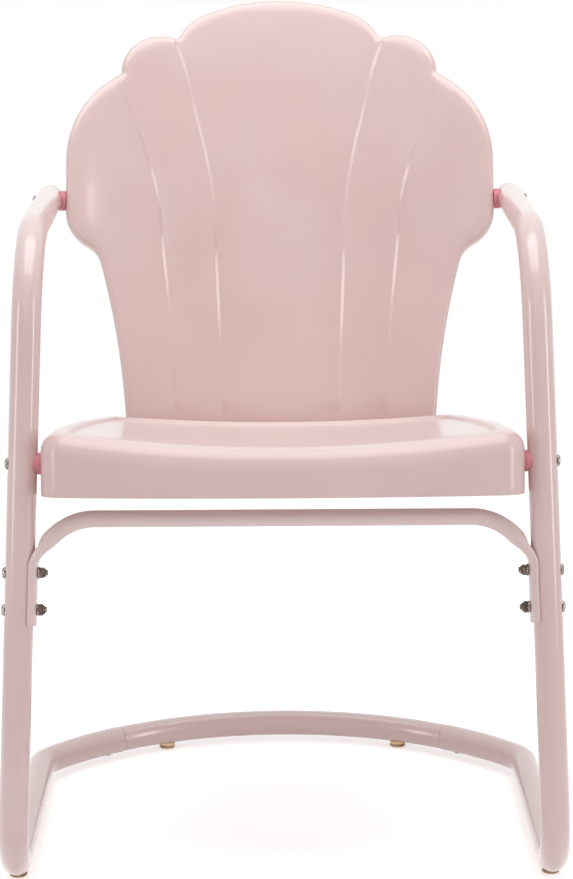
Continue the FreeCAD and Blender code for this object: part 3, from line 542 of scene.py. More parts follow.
def rounded(corners, radius, steps=3):
    """Profile of radius and height pairs with its inner corners rounded."""
    pts = [np.array(corner, float) for corner in corners]
    made = [pts[0]]
    for before, corner, after in zip(pts, pts[1:], pts[2:]):
        reach = min(radius, np.linalg.norm(before - corner) * 0.49, np.linalg.norm(after - corner) * 0.49)
        start = corner + unit(before - corner) * reach
        end = corner + unit(after - corner) * reach
        for share in np.linspace(0, 1, steps + 1):
            made.append((1 - share) ** 2 * start + 2 * share * (1 - share) * corner + share ** 2 * end)
    made.append(pts[-1])
    return [tuple(point) for point in made]


def seated(part, origin, direction):
    """A part made on z = 0, moved to an origin with +Z along a direction."""
    turn = Vector((0, 0, 1)).rotation_difference(Vector(direction)).to_matrix()
    points, faces = part
    return points @ np.array(turn).T + np.asarray(origin), faces


def both_sides(part):
    return [part, mirrored(part)]


# Where things are, as in the solids, in metres.


def spot(*millimetres):
    return np.array(millimetres, float) * MM


TUBE_HEIGHT = 19.8 * MM
ARM_END = spot(250.008, 146.134, 643.5)
ARM_BEND = (
    spot(247.489, -101.8, 643.5), spot(247.722, -167.174, 619.201), spot(249.635, -200.770, 558.121),
)
FLOOR_BEND = (
    spot(266.388, -270.623, 85.081), spot(268.001, -257.380, 39.541), spot(268.7, -214.233, 19.8),
)
RUNNER_END = spot(268.7, 76.198, 19.8)
CORNER_AXIS = spot(221.2, 76.198, 19.8)
BOW_AXIS = spot(0, -81.227, 19.8)
CORNER_TURN = 0.952269
JOINT_TURN = 0.624436
LEG_WAY = unit(np.array([-0.03501, 0.14599, 0.98867]))
LEG_RAKE = math.radians(8.4)
SEAT_BOLT = spot(254.3, -220.221, 426.4)
ARM_BOLT = spot(249.8, 125.635, 643.5)
BRACE_BOLTS = (spot(258.052, -235.866, 320.45), spot(259.331, -241.197, 284.35))
BRACE_CORNER = spot(243.613, -228.194, 372.4)
TAB_TOP = spot(257.820, -234.889, 327.06)
TAB_LENGTH = 57.82 * MM
TAB_CLEARANCE = 0.05 * MM
TAB_HALF_ANGLE = math.radians(52.5)
TAB_SPLAY = 0.0354157       # sideways slope of the tabs, on which a washer stands with its edge
TAB_ROUND = 0.0008          # roundness of a tab's long edges, and how far its end is trimmed
TAB_TRIM = 0.0006
TAB_POINTS = 25             # points on each broad side of the brace's section
EDGE_BULGE = ((0.15, 0.7), (0.5, 1.0), (0.85, 0.7))
FRONT_FOOT = spot(268.7, -212.227, 0)
REAR_FOOT = spot(133, 208.724, 0)
JOINT_SCREW = spot(200.021, 167.274, 5.2)
SEAT_ORIGIN = spot(0, -220.221, 426.4)
SEAT_TILT = math.radians(7.3)
BACK_ORIGIN = spot(0, 163.686, 594.575)
BACK_LEAN = math.radians(15.3266)
SEATING = 0.05 * MM
TURNS = 84                  # points round a tube
RUN_STEP = 0.012            # spacing of a tube's rings on its straight runs and in its bends
ARM_STEP = 0.005
CORNER_STEP = 0.003
RUNNER_STEP = 0.014
BOW_STEP = 0.007
BOW_POINTS = 36
LIP = 0.0006                # roundness of a tube's cut end
BORE_DEPTH = 0.012          # depth to which its bore is shown
DENT_FLAT = 0.8             # a dent's flat middle, rising edge and whole reach, as shares of its radius
DENT_EDGE = 0.55
DENT_REACH = 1.5
DENT_RISE = 1.3             # height of the rising edge, as a share of the dent's depth
DENT_SOFTNESS = 0.0004


def on_bow(turn):
    return BOW_AXIS + settings("tubes").rear_bow * np.array([math.sin(turn), math.cos(turn), 0.0])


def smooth(share):
    share = np.clip(share, 0.0, 1.0)
    return share * share * (3 - 2 * share)


def ramp(value, start, width):
    """Smooth rise from 0 to 1 that begins at a start and takes a width."""
    return smooth((value - start) / width)


def dented(rings, bolts, radius):
    """Press a flat dent with soft edges into the outer side of the tube at each bolt."""
    tubes = settings("tubes")
    points = np.concatenate(rings)
    for bolt in bolts:
        away = np.hypot(points[:, 1] - bolt[1], points[:, 2] - bolt[2])
        rise = ramp(away / tubes.dent_radius, DENT_FLAT, DENT_EDGE) * tubes.dent_depth * DENT_RISE
        floor = bolt[0] + radius - tubes.dent_depth + rise
        near = (away < tubes.dent_radius * DENT_REACH) & (points[:, 0] > bolt[0])
        over = np.where(near, points[:, 0] - floor, -1.0)
        eased = np.clip(over + DENT_SOFTNESS, 0, None) ** 2 / (4 * DENT_SOFTNESS)
        points[:, 0] -= np.where(over > DENT_SOFTNESS, over, eased)
    return list(points.reshape(len(rings), -1, 3))


def tube_end(frames, number, radius, wall, outward):
    """Rings that round the cut end of a tube and turn into its bore."""
    points, tangents, sides, others = frames
    way = tangents[number] * outward
    rings = []
    for inset, along in (
        (0, -LIP), (LIP * 0.3, -LIP * 0.3), (LIP, 0),
        (wall - LIP * 0.5, 0), (wall, -LIP * 0.5), (wall, -BORE_DEPTH),
    ):
        here = (points[[number]] + way * along, None, sides[[number]], others[[number]])
        rings += tube_rings(here, [radius - inset])
    return rings


def side_tube_part():
    """Right side tube: arm, leg, floor bend, runner, rear corner and its end at the rear joint."""
    tubes = settings("tubes")
    radius = tubes.tube_diameter / 2
    bolts = (SEAT_BOLT, *BRACE_BOLTS, ARM_BOLT)
    middle_turn = (math.pi / 2 + CORNER_TURN) / 2
    halfway = np.array([math.sin(middle_turn), math.cos(middle_turn), 0])
    corner_middle = CORNER_AXIS + tubes.rear_corner * halfway
    route = Route(ARM_END)
    route.run(ARM_BEND[0], RUN_STEP, bolts).turn(*ARM_BEND[1:], ARM_STEP)
    route.run(FLOOR_BEND[0], RUN_STEP, bolts).turn(*FLOOR_BEND[1:], CORNER_STEP)
    route.run(RUNNER_END, RUNNER_STEP).turn(corner_middle, on_bow(CORNER_TURN), CORNER_STEP)
    route.turn(on_bow((CORNER_TURN + JOINT_TURN) / 2), on_bow(JOINT_TURN), BOW_STEP)
    frames = route.frames(X_AXIS)
    rings = dented(tube_rings(frames, np.full(len(route.points), radius)), bolts, radius)
    arm_lip = tube_end(frames, 0, radius, tubes.tube_wall, -1)
    joint_lip = tube_end(frames, -1, radius, tubes.tube_wall, 1)
    return skin(arm_lip[::-1] + rings[1:-1] + joint_lip)


class LAWNCHAIR_OT_side_tubes(bpy.types.Operator):
    """Build the two bent side tubes, each one tube from arm to rear joint"""

    bl_idname = "lawn_chair.side_tubes"
    bl_label = "Side tubes"

    def execute(self, context):
        right = side_tube_part()
        for side, part in (("right", right), ("left", mirrored(right))):
            nodes = [f"{side}_arm_and_leg", f"{side}_runner"]
            piece = make_piece(f"{side}_side_tube", *part, "frame_paint", nodes)
            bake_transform(piece)
        return {"FINISHED"}


class LAWNCHAIR_OT_rear_tube(bpy.types.Operator):
    """Build the bowed rear tube with its reduced ends"""

    bl_idname = "lawn_chair.rear_tube"
    bl_label = "Rear tube"

    def execute(self, context):
        tubes = settings("tubes")
        reach = JOINT_TURN + tubes.rear_insert / tubes.rear_bow
        bore = tubes.tube_diameter / 2 - tubes.tube_wall - 0.15 * MM
        full = tubes.rear_diameter / 2
        edge = 0.5 * MM / tubes.rear_bow
        half = [reach] + [JOINT_TURN - edge * step for step in (-2, 0, 0.6, 1.5, 3)]
        radii = [bore, bore] + [full - inset * MM for inset in (1.5, 0.8, 0.25, 0)]
        inner = list(np.linspace(JOINT_TURN - 6 * edge, 0, BOW_POINTS))
        turns = half + inner + [-turn for turn in (half + inner[:-1])[::-1]]
        reaches = radii + [full] * (2 * BOW_POINTS - 1) + radii[::-1]
        route = Route(on_bow(turns[0]))
        route.points += [on_bow(turn) for turn in turns[1:]]
        rings = tube_rings(route.frames(Z_AXIS), reaches)
        make_piece("rear_bow_tube", *skin(rings), "frame_paint", ["rear_cross_tube"], "base")
        return {"FINISHED"}


def tab_ring(inner, outer, trim):
    """Crescent section of a flattened brace end round the leg's axis, its long edges rounded."""
    wide = TAB_HALF_ANGLE - trim / outer
    turns = np.linspace(-wide, wide, TAB_POINTS)
    places = [(outer - trim, turn) for turn in turns]
    edge = [(inner + (outer - inner) * share, wide + out * TAB_ROUND / outer) for share, out in EDGE_BULGE]
    places += edge[::-1] + [(inner + trim * 0.3, turn) for turn in turns[::-1]]
    places += [(reach, -turn) for reach, turn in edge]
    return np.array([(reach * math.cos(turn), reach * math.sin(turn)) for reach, turn in places])


def brace_end_rings():
    """Rings of the right end of the brace, from its round tube to the square end of the tab."""
    tubes = settings("tubes")
    up = np.array([0.0, math.sin(LEG_RAKE), math.cos(LEG_RAKE)])
    turn = tubes.brace_turn
    axis = BRACE_CORNER - (X_AXIS + up) * tubes.brace_bend
    start = axis + tubes.brace_bend * (X_AXIS * math.sin(turn) + up * math.cos(turn))
    inside = -(X_AXIS * math.sin(turn) + up * math.cos(turn))
    onward = X_AXIS * math.cos(turn) - up * math.sin(turn)
    inward = unit(-X_AXIS + LEG_WAY * (X_AXIS @ LEG_WAY))
    sideways = np.cross(LEG_WAY, inward)
    inner = tubes.tube_diameter / 2 + TAB_CLEARANCE
    outer = inner + tubes.tab_thickness
    middle = (outer + inner * math.cos(TAB_HALF_ANGLE)) / 2
    tab = tab_ring(inner, outer, 0.0) - [middle, 0]
    third = math.pi / 3
    between = len(EDGE_BULGE) + 2
    spread = np.concatenate([
        np.linspace(-third, third, TAB_POINTS), np.linspace(third, 2 * third, between)[1:-1],
        np.linspace(2 * third, 4 * third, TAB_POINTS), np.linspace(4 * third, 5 * third, between)[1:-1],
    ])
    circle = np.stack([np.cos(spread), np.sin(spread)], axis=1) * tubes.brace_diameter / 2

    def placed(section, centre, toward):
        return centre + section[:, :1] * toward + section[:, 1:] * sideways

    rings = []
    for bend in np.linspace(0, turn, 15)[:-1]:
        radial = X_AXIS * math.sin(bend) + up * math.cos(bend)
        rings.append(placed(circle, axis + radial * tubes.brace_bend, -radial))
    end = TAB_TOP + inward * middle
    reach = np.linalg.norm(end - start)
    for share in np.linspace(0, 1, 19):
        eased = smooth(share * 1.1)
        passed = smooth(share)
        centre = start * (1 - passed) + end * passed + reach * (
            share * (1 - share) ** 2 * onward + share ** 2 * (1 - share) * LEG_WAY
        )
        toward = unit(inside * (1 - share) + inward * share)
        rings.append(placed(circle * (1 - eased) + tab * eased, centre, toward))
    for along in np.linspace(0, TAB_LENGTH - TAB_ROUND, 14)[1:]:
        rings.append(placed(tab, end - LEG_WAY * along, inward))
    trimmed = tab_ring(inner, outer, TAB_TRIM) - [middle, 0]
    rings.append(placed(trimmed, end - LEG_WAY * TAB_LENGTH, inward))
    return rings


class LAWNCHAIR_OT_brace(bpy.types.Operator):
    """Build the brace between the legs, its ends flattened into tabs that cup the tubes"""

    bl_idname = "lawn_chair.brace"
    bl_label = "Leg brace"

    def execute(self, context):
        right = brace_end_rings()
        straight = right[0]
        half = straight[:, 0].mean()
        run = [straight + X_AXIS * (across - half) for across in np.linspace(-half, half, 30)[1:-1]]
        left = [ring * MIRROR for ring in right[::-1]]
        make_piece("leg_brace", *skin(left + run + right), "brace_paint", ["cross_brace"], "upper")
        return {"FINISHED"}


# Pressed sheets: a face over a plan outline, a rolled edge and a turned wall.

FACE_MARGIN = 0.0013        # least distance of the face's mesh points from the rolled edge
HEM = 0.8 * MM


def slope_of(depth, plan):
    """Length of a unit step on the face, along its steepest way, at points of the plan."""
    step = 0.0002
    across = (depth(plan + [step, 0]) - depth(plan - [step, 0])) / (2 * step)
    along = (depth(plan + [0, step]) - depth(plan - [0, step])) / (2 * step)
    return np.sqrt(1 + across ** 2 + along ** 2)


def inside_of(points, outline):
    """Which plan points lie inside a closed outline."""
    inside = np.zeros(len(points), bool)
    x, y = points[:, 0], points[:, 1]
    for (x1, y1), (x2, y2) in zip(outline, np.roll(outline, -1, axis=0)):
        if y1 != y2:
            crosses = (y1 > y) != (y2 > y)
            inside ^= crosses & (x < (x2 - x1) * (y - y1) / (y2 - y1) + x1)
    return inside


def lattice(outline, spacing):
    """Even triangular lattice of plan points over an outline's box."""
    low, high = outline.min(0), outline.max(0)
    rows = np.arange(low[1], high[1], spacing * 0.866)
    points = []
    for number, up in enumerate(rows):
        across = np.arange(low[0] + (number % 2) * spacing / 2, high[0], spacing)
        points.append(np.stack([across, np.full(len(across), up)], axis=1))
    return np.concatenate(points)


def pressed_sheet(outline, normals, depth, roll, wall_end, inner_points, links, to_frame):
    """Closed pressing: its visible face, rolled edge, wall, hem, and the same again behind it."""
    thickness = settings("sheets").sheet

    def ring(inset, extra, at=None):
        plan = outline - normals * inset
        level = depth(plan) + extra if at is None else at
        return np.column_stack([plan, level])

    steps = np.linspace(0, math.pi / 2, 8)
    top = depth(outline)
    rings = [ring(roll * (1 - math.sin(turn)), roll * (1 - math.cos(turn))) for turn in steps]
    end = wall_end(outline)
    for share in np.linspace(0, 1, 7)[1:]:
        rings.append(ring(0, 0, (top + roll) * (1 - share) + (end - HEM) * share))
    for turn in np.linspace(0, math.pi, 7)[1:]:
        rings.append(ring(thickness / 2 * (1 - math.cos(turn)), 0, end - HEM + HEM * math.sin(turn)))
    bend = roll - thickness
    slant = slope_of(depth, outline - normals * roll)
    for share in np.linspace(0, 1, 7)[1:]:
        rings.append(ring(thickness, 0, (end - HEM) * (1 - share) + (top + roll) * share))
    for turn in steps[::-1][1:]:
        inset = roll - bend * math.sin(turn)
        extra = roll - bend * math.cos(turn) + thickness * (slant - 1) * (1 - math.sin(turn))
        rings.append(ring(inset, extra))
    border = outline - normals * roll
    count = len(border)
    keep = inside_of(inner_points, outline - normals * (roll + FACE_MARGIN))
    places = count + np.cumsum(keep) - 1
    inner_points = inner_points[keep]
    plan = np.concatenate([border, inner_points])
    edges = [(number, (number + 1) % count) for number in range(count)]
    edges += [(int(places[start]), int(places[end])) for start, end in links if keep[start] and keep[end]]
    made = delaunay_2d_cdt([Vector(point) for point in plan], edges, [], 1, 1e-7)
    source = [origin[0] for origin in made[3]]
    triangles = [[source[corner] for corner in face] for face in made[2]]
    shell, faces = skin(rings, closed=False)
    first_inner = len(shell)
    back_border = (len(rings) - 1) * count
    face_level = depth(inner_points)
    back_level = face_level + thickness * slope_of(depth, inner_points)
    points = np.concatenate([
        shell, np.column_stack([inner_points, face_level]), np.column_stack([inner_points, back_level])
    ])
    shift = first_inner - count
    for triangle in triangles:
        faces.append([c if c < count else c + shift for c in triangle][::-1])
        faces.append([c + back_border if c < count else c + shift + len(inner_points) for c in triangle])
    return to_frame(points), faces


def rim_inset(outline):
    """Measure of how far plan points lie inside an outline."""
    steps = (np.arange(8) / 8)[:, None]
    onward = np.roll(outline, -1, axis=0)
    close = np.concatenate([start + (end - start) * steps for start, end in zip(outline, onward)])
    tree = KDTree(len(close))
    for number, (across, up) in enumerate(close):
        tree.insert((across, up, 0), number)
    tree.balance()
    return lambda plan: np.array([tree.find((across, up, 0))[2] for across, up in plan])


def arc_points(centre, radius, start, end, spacing, hollow):
    """Points and outward normals along a plan arc, without its end."""
    first = np.array(start) - centre
    last = np.array(end) - centre
    turn = math.atan2(first[0] * last[1] - first[1] * last[0], first @ last)
    count = max(3, math.ceil(abs(turn) * radius / spacing))
    begin = math.atan2(first[1], first[0])
    turns = begin + turn * np.arange(count) / count
    ways = np.stack([np.cos(turns), np.sin(turns)], axis=1)
    return centre + ways * radius, -ways if hollow else ways


def line_points(start, end, normal, spacing):
    start, end = np.array(start), np.array(end)
    count = max(1, math.ceil(np.linalg.norm(end - start) / spacing))
    shares = (np.arange(count) / count)[:, None]
    return start + (end - start) * shares, np.tile(normal, (count, 1)).astype(float)


def full_outline(pieces, last):
    """Closed outline from the pieces of its right half and the last point on the middle line."""
    points = np.concatenate([points for points, _ in pieces])
    normals = np.concatenate([normals for _, normals in pieces])
    flip = np.array([-1.0, 1.0])
    end, end_normal = last
    return (
        np.concatenate([points, [end], points[1:][::-1] * flip]),
        np.concatenate([normals, [end_normal], normals[1:][::-1] * flip]),
    )


def crossing(first, first_radius, second, second_radius, side):
    """Crossing point of two circles, to the left (1) or right (-1) of the way between their centres."""
    way = second - first
    apart = np.linalg.norm(way)
    along = (apart ** 2 + first_radius ** 2 - second_radius ** 2) / (2 * apart)
    off = side * math.sqrt(first_radius ** 2 - along ** 2)
    way = way / apart
    return first + way * along + np.array([-way[1], way[0]]) * off


def meet(first, second):
    """Touching point of two circles, each a centre and a radius."""
    big, small = (first, second) if first[1] > second[1] else (second, first)
    way = small[0] - big[0]
    return big[0] + way / np.linalg.norm(way) * big[1]


SEAT_FRONT_ARC = 1355 * MM
SEAT_SIDE_ARC = 1226 * MM
SEAT_CORNERS = (27 * MM, 38.5 * MM)
SEAT_TOP = 17.8 * MM


def seat_outline():
    """Plan of the seat: x across and y to the back, with its bolts on the line y = 0."""
    sheets = settings("sheets")
    front = (np.array([0.0, SEAT_FRONT_ARC - sheets.seat_front]), SEAT_FRONT_ARC)
    rear = (np.array([0.0, sheets.seat_rear - sheets.back_wrap]), sheets.back_wrap)
    side = (np.array([sheets.seat_half_width - SEAT_SIDE_ARC, 0.0]), SEAT_SIDE_ARC)
    spacing = 0.005
    corners = []
    for arc, radius, hand in ((front, SEAT_CORNERS[0], -1), (rear, SEAT_CORNERS[1], 1)):
        centre = crossing(side[0], side[1] - radius, arc[0], arc[1] - radius, hand)
        if centre[0] < 0:
            centre = crossing(side[0], side[1] - radius, arc[0], arc[1] - radius, -hand)
        corners.append((centre, radius))
    marks = [
        np.array([0.0, -sheets.seat_front]), meet(front, corners[0]), meet(side, corners[0]),
        meet(side, corners[1]), meet(rear, corners[1]), np.array([0.0, sheets.seat_rear]),
    ]
    arcs = (front, corners[0], side, corners[1], rear)
    pieces = [
        arc_points(arc[0], arc[1], marks[number], marks[number + 1], min(spacing, arc[1] * 0.08), False)
        for number, arc in enumerate(arcs)
    ]
    return full_outline(pieces, (marks[-1], np.array([0.0, 1.0])))


def seat_depth(plan, inset):
    """Depth of the seat's face below its edge's crest in the middle: dished, and set down in its edge."""
    sheets = settings("sheets")
    dish = sheets.seat_dish
    step = ramp(inset, sheets.seat_roll, sheets.seat_recess_width)
    return np.sqrt(dish ** 2 - plan[:, 0] ** 2) - dish + sheets.seat_recess * step


def seat_to_frame(points):
    """Seat plan and depth to the chair's frame."""
    up = SEAT_TOP - points[:, 2]
    return np.stack([
        points[:, 0],
        SEAT_ORIGIN[1] + points[:, 1] * math.cos(SEAT_TILT) + up * math.sin(SEAT_TILT),
        SEAT_ORIGIN[2] - points[:, 1] * math.sin(SEAT_TILT) + up * math.cos(SEAT_TILT),
    ], axis=1)


def seat_inner_points(outline, normals):
    """Mesh points of the seat's face: close rows along the step inside its edge and an even lattice within."""
    sheets = settings("sheets")
    insets = sheets.seat_roll + sheets.seat_recess_width * np.arange(1, 9) / 8
    rows = [outline - normals * inset for inset in insets]
    even = lattice(outline, sheets.grid * 2.4)
    away = rim_inset(outline)(even)
    return np.concatenate(rows + [even[away > insets[-1] + sheets.grid]])


class LAWNCHAIR_OT_seat(bpy.types.Operator):
    """Build the pressed seat with its dished top, rolled edge and apron"""

    bl_idname = "lawn_chair.seat"
    bl_label = "Pressed seat"

    def execute(self, context):
        sheets = settings("sheets")
        outline, normals = seat_outline()
        inset = rim_inset(outline)

        def depth(plan):
            return seat_depth(plan, inset(plan))

        def wall_end(plan):
            return np.full(len(plan), SEAT_TOP + sheets.seat_skirt)

        points = seat_inner_points(outline, normals)
        part = pressed_sheet(outline, normals, depth, sheets.seat_roll, wall_end, points, [], seat_to_frame)
        make_piece("pressed_seat", *part, "seat_paint", ["seat_pan"], "upper", sharp=50)
        return {"FINISHED"}


# Back: its outline is a chain of touching circles, in the back's own plan of x across and y up.

BOLT_UP = 37.127 * MM
BACK_TOP = 273.127 * MM
BACK_BOTTOM = -243.78 * MM
BACK_HALF = 230.8 * MM
WAIST_HALF = 168 * MM
WAIST_DROP = 239 * MM
WAIST_FLARE = 47 * MM
CROWN = 200 * MM
SHOULDER = (52 * MM, 66 * MM)
INNER_LOBE = (128 * MM, 146.5 * MM, 44.7 * MM)
SIDE_LOBE = (43 * MM, 119 * MM)
HIP = (15 * MM, 37.4 * MM)
HIP_FILLET = 28 * MM
CORNER = 13.5 * MM
NOTCH = 2.9 * MM
BEAD_FOOT = (-192 * MM, 0.016)       # ramps, each its start and its width: where the beads begin,
BEAD_SWELL = (-0.14, 0.16)           # where they reach their full height,
OUTER_EASE = (0.06, 0.07)            # where the outer ones become lower again, and by which share,
OUTER_LOSS = 0.55
SIDE_FALL = (0.1, 0.09)              # and where, across, the fall to the rim grows to its full depth
INNER_BEAD = ((61, -197), (67.6, -25), (70.6, 44), (79.6, 99), (91, 145), (100.5, 187), (112.5, 222))
OUTER_BEAD = ((113.5, -170), (119.6, -72), (125.6, -16), (133, 54), (138, 74), (154, 122), (172.5, 167))


def back_circles():
    """Circles of the right half from the crown to the bottom corner, each a centre and a radius."""
    crown = (np.array([0.0, BACK_TOP - CROWN]), CROWN)
    reach = CROWN - SHOULDER[1]
    shoulder = (np.array([SHOULDER[0], crown[0][1] + math.sqrt(reach ** 2 - SHOULDER[0] ** 2)]), SHOULDER[1])
    lobe = (np.array([INNER_LOBE[0], BOLT_UP + INNER_LOBE[1]]), INNER_LOBE[2])
    side = (np.array([BACK_HALF - SIDE_LOBE[1], BOLT_UP + SIDE_LOBE[0]]), SIDE_LOBE[1])
    hip = (np.array([BACK_HALF - HIP[1], BOLT_UP - HIP[0]]), HIP[1])
    rise = BOLT_UP + WAIST_DROP
    waist_radius = (rise ** 2 + WAIST_FLARE ** 2) / (2 * WAIST_FLARE)
    waist = (np.array([WAIST_HALF + waist_radius, -WAIST_DROP]), waist_radius)
    inner_notch = (crossing(shoulder[0], shoulder[1] + NOTCH, lobe[0], lobe[1] + NOTCH, 1), NOTCH)
    outer_notch = (crossing(lobe[0], lobe[1] + NOTCH, side[0], side[1] + NOTCH, 1), NOTCH)
    fillet = (crossing(hip[0], hip[1] + HIP_FILLET, waist[0], waist[1] - HIP_FILLET, -1), HIP_FILLET)
    corner_up = BACK_BOTTOM + CORNER
    run = math.sqrt((waist[1] + CORNER) ** 2 - (corner_up - waist[0][1]) ** 2)
    corner = (np.array([waist[0][0] - run, corner_up]), CORNER)
    return crown, shoulder, inner_notch, lobe, outer_notch, side, hip, fillet, waist, corner


HOLLOW_ARCS = (2, 4, 7, 8)


def back_outline():
    """Plan of the back: x across and y up from its middle point."""
    circles = back_circles()
    spacing = 0.0035

    def arcs(first, ends, fineness):
        made = []
        for number, (start, end) in enumerate(zip(ends, ends[1:]), first):
            centre, radius = circles[number]
            step = min(spacing, radius * fineness)
            made.append(arc_points(centre, radius, start, end, step, number in HOLLOW_ARCS))
        return made

    def meetings(numbers):
        return [meet(circles[number], circles[number + 1]) for number in numbers]

    flank = [centre + [radius, 0] for centre, radius in circles[5:7]]
    upper = [np.array([0.0, BACK_TOP])] + meetings(range(5)) + flank[:1]
    lower = flank[1:] + meetings((6, 7, 8)) + [circles[9][0] - [0, circles[9][1]]]
    bottom = np.array([0.0, BACK_BOTTOM])
    pieces = arcs(0, upper, 0.16) + [line_points(*flank, (1, 0), spacing)] + arcs(6, lower, 0.12)
    pieces.append(line_points(lower[-1], bottom, (0, -1), spacing))
    return full_outline(pieces, (bottom, np.array([0.0, -1.0])))


def smooth_line(stations):
    """Closely spaced points of a smooth line through stations, as heights and places across."""
    knots = np.array(stations, float)[:, ::-1] * MM
    ways = np.gradient(knots[:, 1], knots[:, 0])
    share = np.linspace(0, 1, 25)
    heights = []
    places = []
    for (low, start), (high, end), way, next_way in zip(knots, knots[1:], ways, ways[1:]):
        rise = high - low
        places += list(
            (2 * share ** 3 - 3 * share ** 2 + 1) * start
            + (share ** 3 - 2 * share ** 2 + share) * rise * way
            + (3 * share ** 2 - 2 * share ** 3) * end
            + (share ** 3 - share ** 2) * rise * next_way
        )
        heights += list(low + share * rise)
    return np.array(heights), np.array(places)


BEAD_LINES = (smooth_line(INNER_BEAD), smooth_line(OUTER_BEAD))


def bead_across(line, up):
    """Place across of a bead at a height, and the cosine of its slant there."""
    step = 0.002
    slant = np.interp(up + step, *line) - np.interp(up - step, *line)
    return np.interp(up, *line), 1 / np.sqrt(1 + (slant / (2 * step)) ** 2)


def flank_width(place):
    """Width of a bead's steep side, which faces outwards by the same angle wherever it is on the wrap."""
    sheets = settings("sheets")
    return sheets.bead_height / (math.tan(sheets.bead_face) + np.tan(np.arcsin(place / sheets.back_wrap)))


def wrapped_bow(plan, rim):
    """Depth of the back's bowed and wrapped form, or of one parallel to it, a rim's depth behind."""
    sheets = settings("sheets")
    bow, wrap = sheets.back_bow, sheets.back_wrap
    radial = bow + wrap - rim - np.sqrt(wrap ** 2 - plan[:, 0] ** 2)
    return bow - np.sqrt(radial ** 2 - plan[:, 1] ** 2)


def back_wall_end(plan):
    """Depth of the rear edge of the back's turned rim."""
    return wrapped_bow(plan, settings("sheets").back_rim)


def back_depth(plan, inset):
    """Depth of the back's face: bow and wrap, raised beads, scooped lobes and the fall to the rim."""
    sheets = settings("sheets")
    across, up = np.abs(plan[:, 0]), plan[:, 1]
    depth = wrapped_bow(plan, 0.0)
    foot = ramp(up, *BEAD_FOOT)
    inner, inner_cos = bead_across(BEAD_LINES[0], up)
    outer, outer_cos = bead_across(BEAD_LINES[1], up)
    for place, cosine, loss in ((inner, inner_cos, 0.0), (outer, outer_cos, OUTER_LOSS)):
        off = (across - place) * cosine
        outer_side = np.clip(1 - off / flank_width(place), 0, 1)
        inner_side = (
            0.3 * np.clip(1 + off / sheets.bead_inner, 0, 1) ** 1.2 + 0.7 * smooth(1 + off / sheets.bead_tail)
        )
        strength = (0.8 + 0.2 * ramp(up, *BEAD_SWELL)) * (1 - loss * ramp(up, *OUTER_EASE))
        depth -= sheets.bead_height * strength * foot * np.where(off > 0, outer_side, inner_side)
    lobe = np.clip((across - inner) / np.maximum(outer - inner, 1e-4), 0, 1)
    middle = np.clip(across / inner, 0, 1)
    depth += sheets.lobe_scoop * foot * (4 * lobe * (1 - lobe) + 0.7 * (1 - middle ** 2) * (across < inner))
    fall = np.clip(1 - inset / sheets.back_fall_width, 0, 1) ** 2
    return depth + sheets.back_fall * (0.2 + 0.8 * ramp(across, *SIDE_FALL)) * fall


def back_to_frame(points):
    """Back plan and depth to the chair's frame."""
    across, up, depth = points.T
    return np.stack([
        across,
        BACK_ORIGIN[1] + depth * math.cos(BACK_LEAN) + up * math.sin(BACK_LEAN),
        BACK_ORIGIN[2] - depth * math.sin(BACK_LEAN) + up * math.cos(BACK_LEAN),
    ], axis=1)


BEAD_ROWS = (-1.25, -1.1, -1, -0.9, -0.75, -0.6, -0.45, -0.3, -0.18, -0.08)
FLANK_ROWS = (0, 0.17, 0.34, 0.5, 0.66, 0.83, 1, 1.2, 1.5)


def back_inner_points(outline):
    """Mesh points of the back's face, in rows along the beads and evenly elsewhere, and the rows' links."""
    sheets = settings("sheets")
    spacing = sheets.grid
    ups = np.arange(BACK_BOTTOM + spacing, BACK_TOP, spacing)
    strips = []
    links = []
    first = 0
    for line in BEAD_LINES:
        place, _ = bead_across(line, ups)
        flank = flank_width(place)
        offsets = [np.full(len(ups), share * sheets.bead_inner) for share in BEAD_ROWS]
        offsets += [share * flank for share in FLANK_ROWS]
        slant = np.gradient(place, ups)
        out = np.stack([np.ones(len(ups)), -slant], axis=1) / np.sqrt(1 + slant ** 2)[:, None]
        for side in (1, -1):
            for offset in offsets:
                strips.append((np.stack([place, ups], axis=1) + out * offset[:, None]) * [side, 1])
                links += [(first + number, first + number + 1) for number in range(len(ups) - 1)]
                first += len(ups)
    even = lattice(outline, spacing * 2.2)
    keep = np.ones(len(even), bool)
    for line in BEAD_LINES:
        place, cosine = bead_across(line, even[:, 1])
        off = (np.abs(even[:, 0]) - place) * cosine
        before, behind = BEAD_ROWS[0] * sheets.bead_inner - spacing * 0.8, 2 * sheets.bead_height + spacing
        keep &= (off < before) | (off > behind)
    return np.concatenate([*strips, even[keep]]), links


class LAWNCHAIR_OT_back(bpy.types.Operator):
    """Build the pressed scalloped back with its beads, scooped lobes and turned rim"""

    bl_idname = "lawn_chair.back"
    bl_label = "Pressed back"

    def execute(self, context):
        sheets = settings("sheets")
        outline, normals = back_outline()
        inset = rim_inset(outline)

        def depth(plan):
            return back_depth(plan, inset(plan))

        points, links = back_inner_points(outline)
        part = pressed_sheet(
            outline, normals, depth, sheets.back_roll, back_wall_end, points, links, back_to_frame
        )
        make_piece("pressed_back", *part, "back_paint", ["back_shell"], "upper", sharp=50)
        return {"FINISHED"}


# Fittings, each made once on its own axis and then seated where the solids have it.

HEXAGON = math.radians(60)
CHAMFER_SLOPE = 0.577
SHANK_EDGE = 0.6 * MM
SHANK_SPARE = 2.5 * MM
THREADS = 9
THREAD_PITCH = 1.0 * MM
THREAD_DEPTH = 0.35 * MM
BOLT_BORE = 3.3 * MM
REAR_BOLT_HALF = 92 * MM
REAR_BOLT_DROP = 15 * MM
PRESS_GAP = 0.3 * MM
NUT_RINGS = 13
NYLON_RINGS = (9, 10)
SCREW_SHARP = 32
SADDLE_POINTS = 64


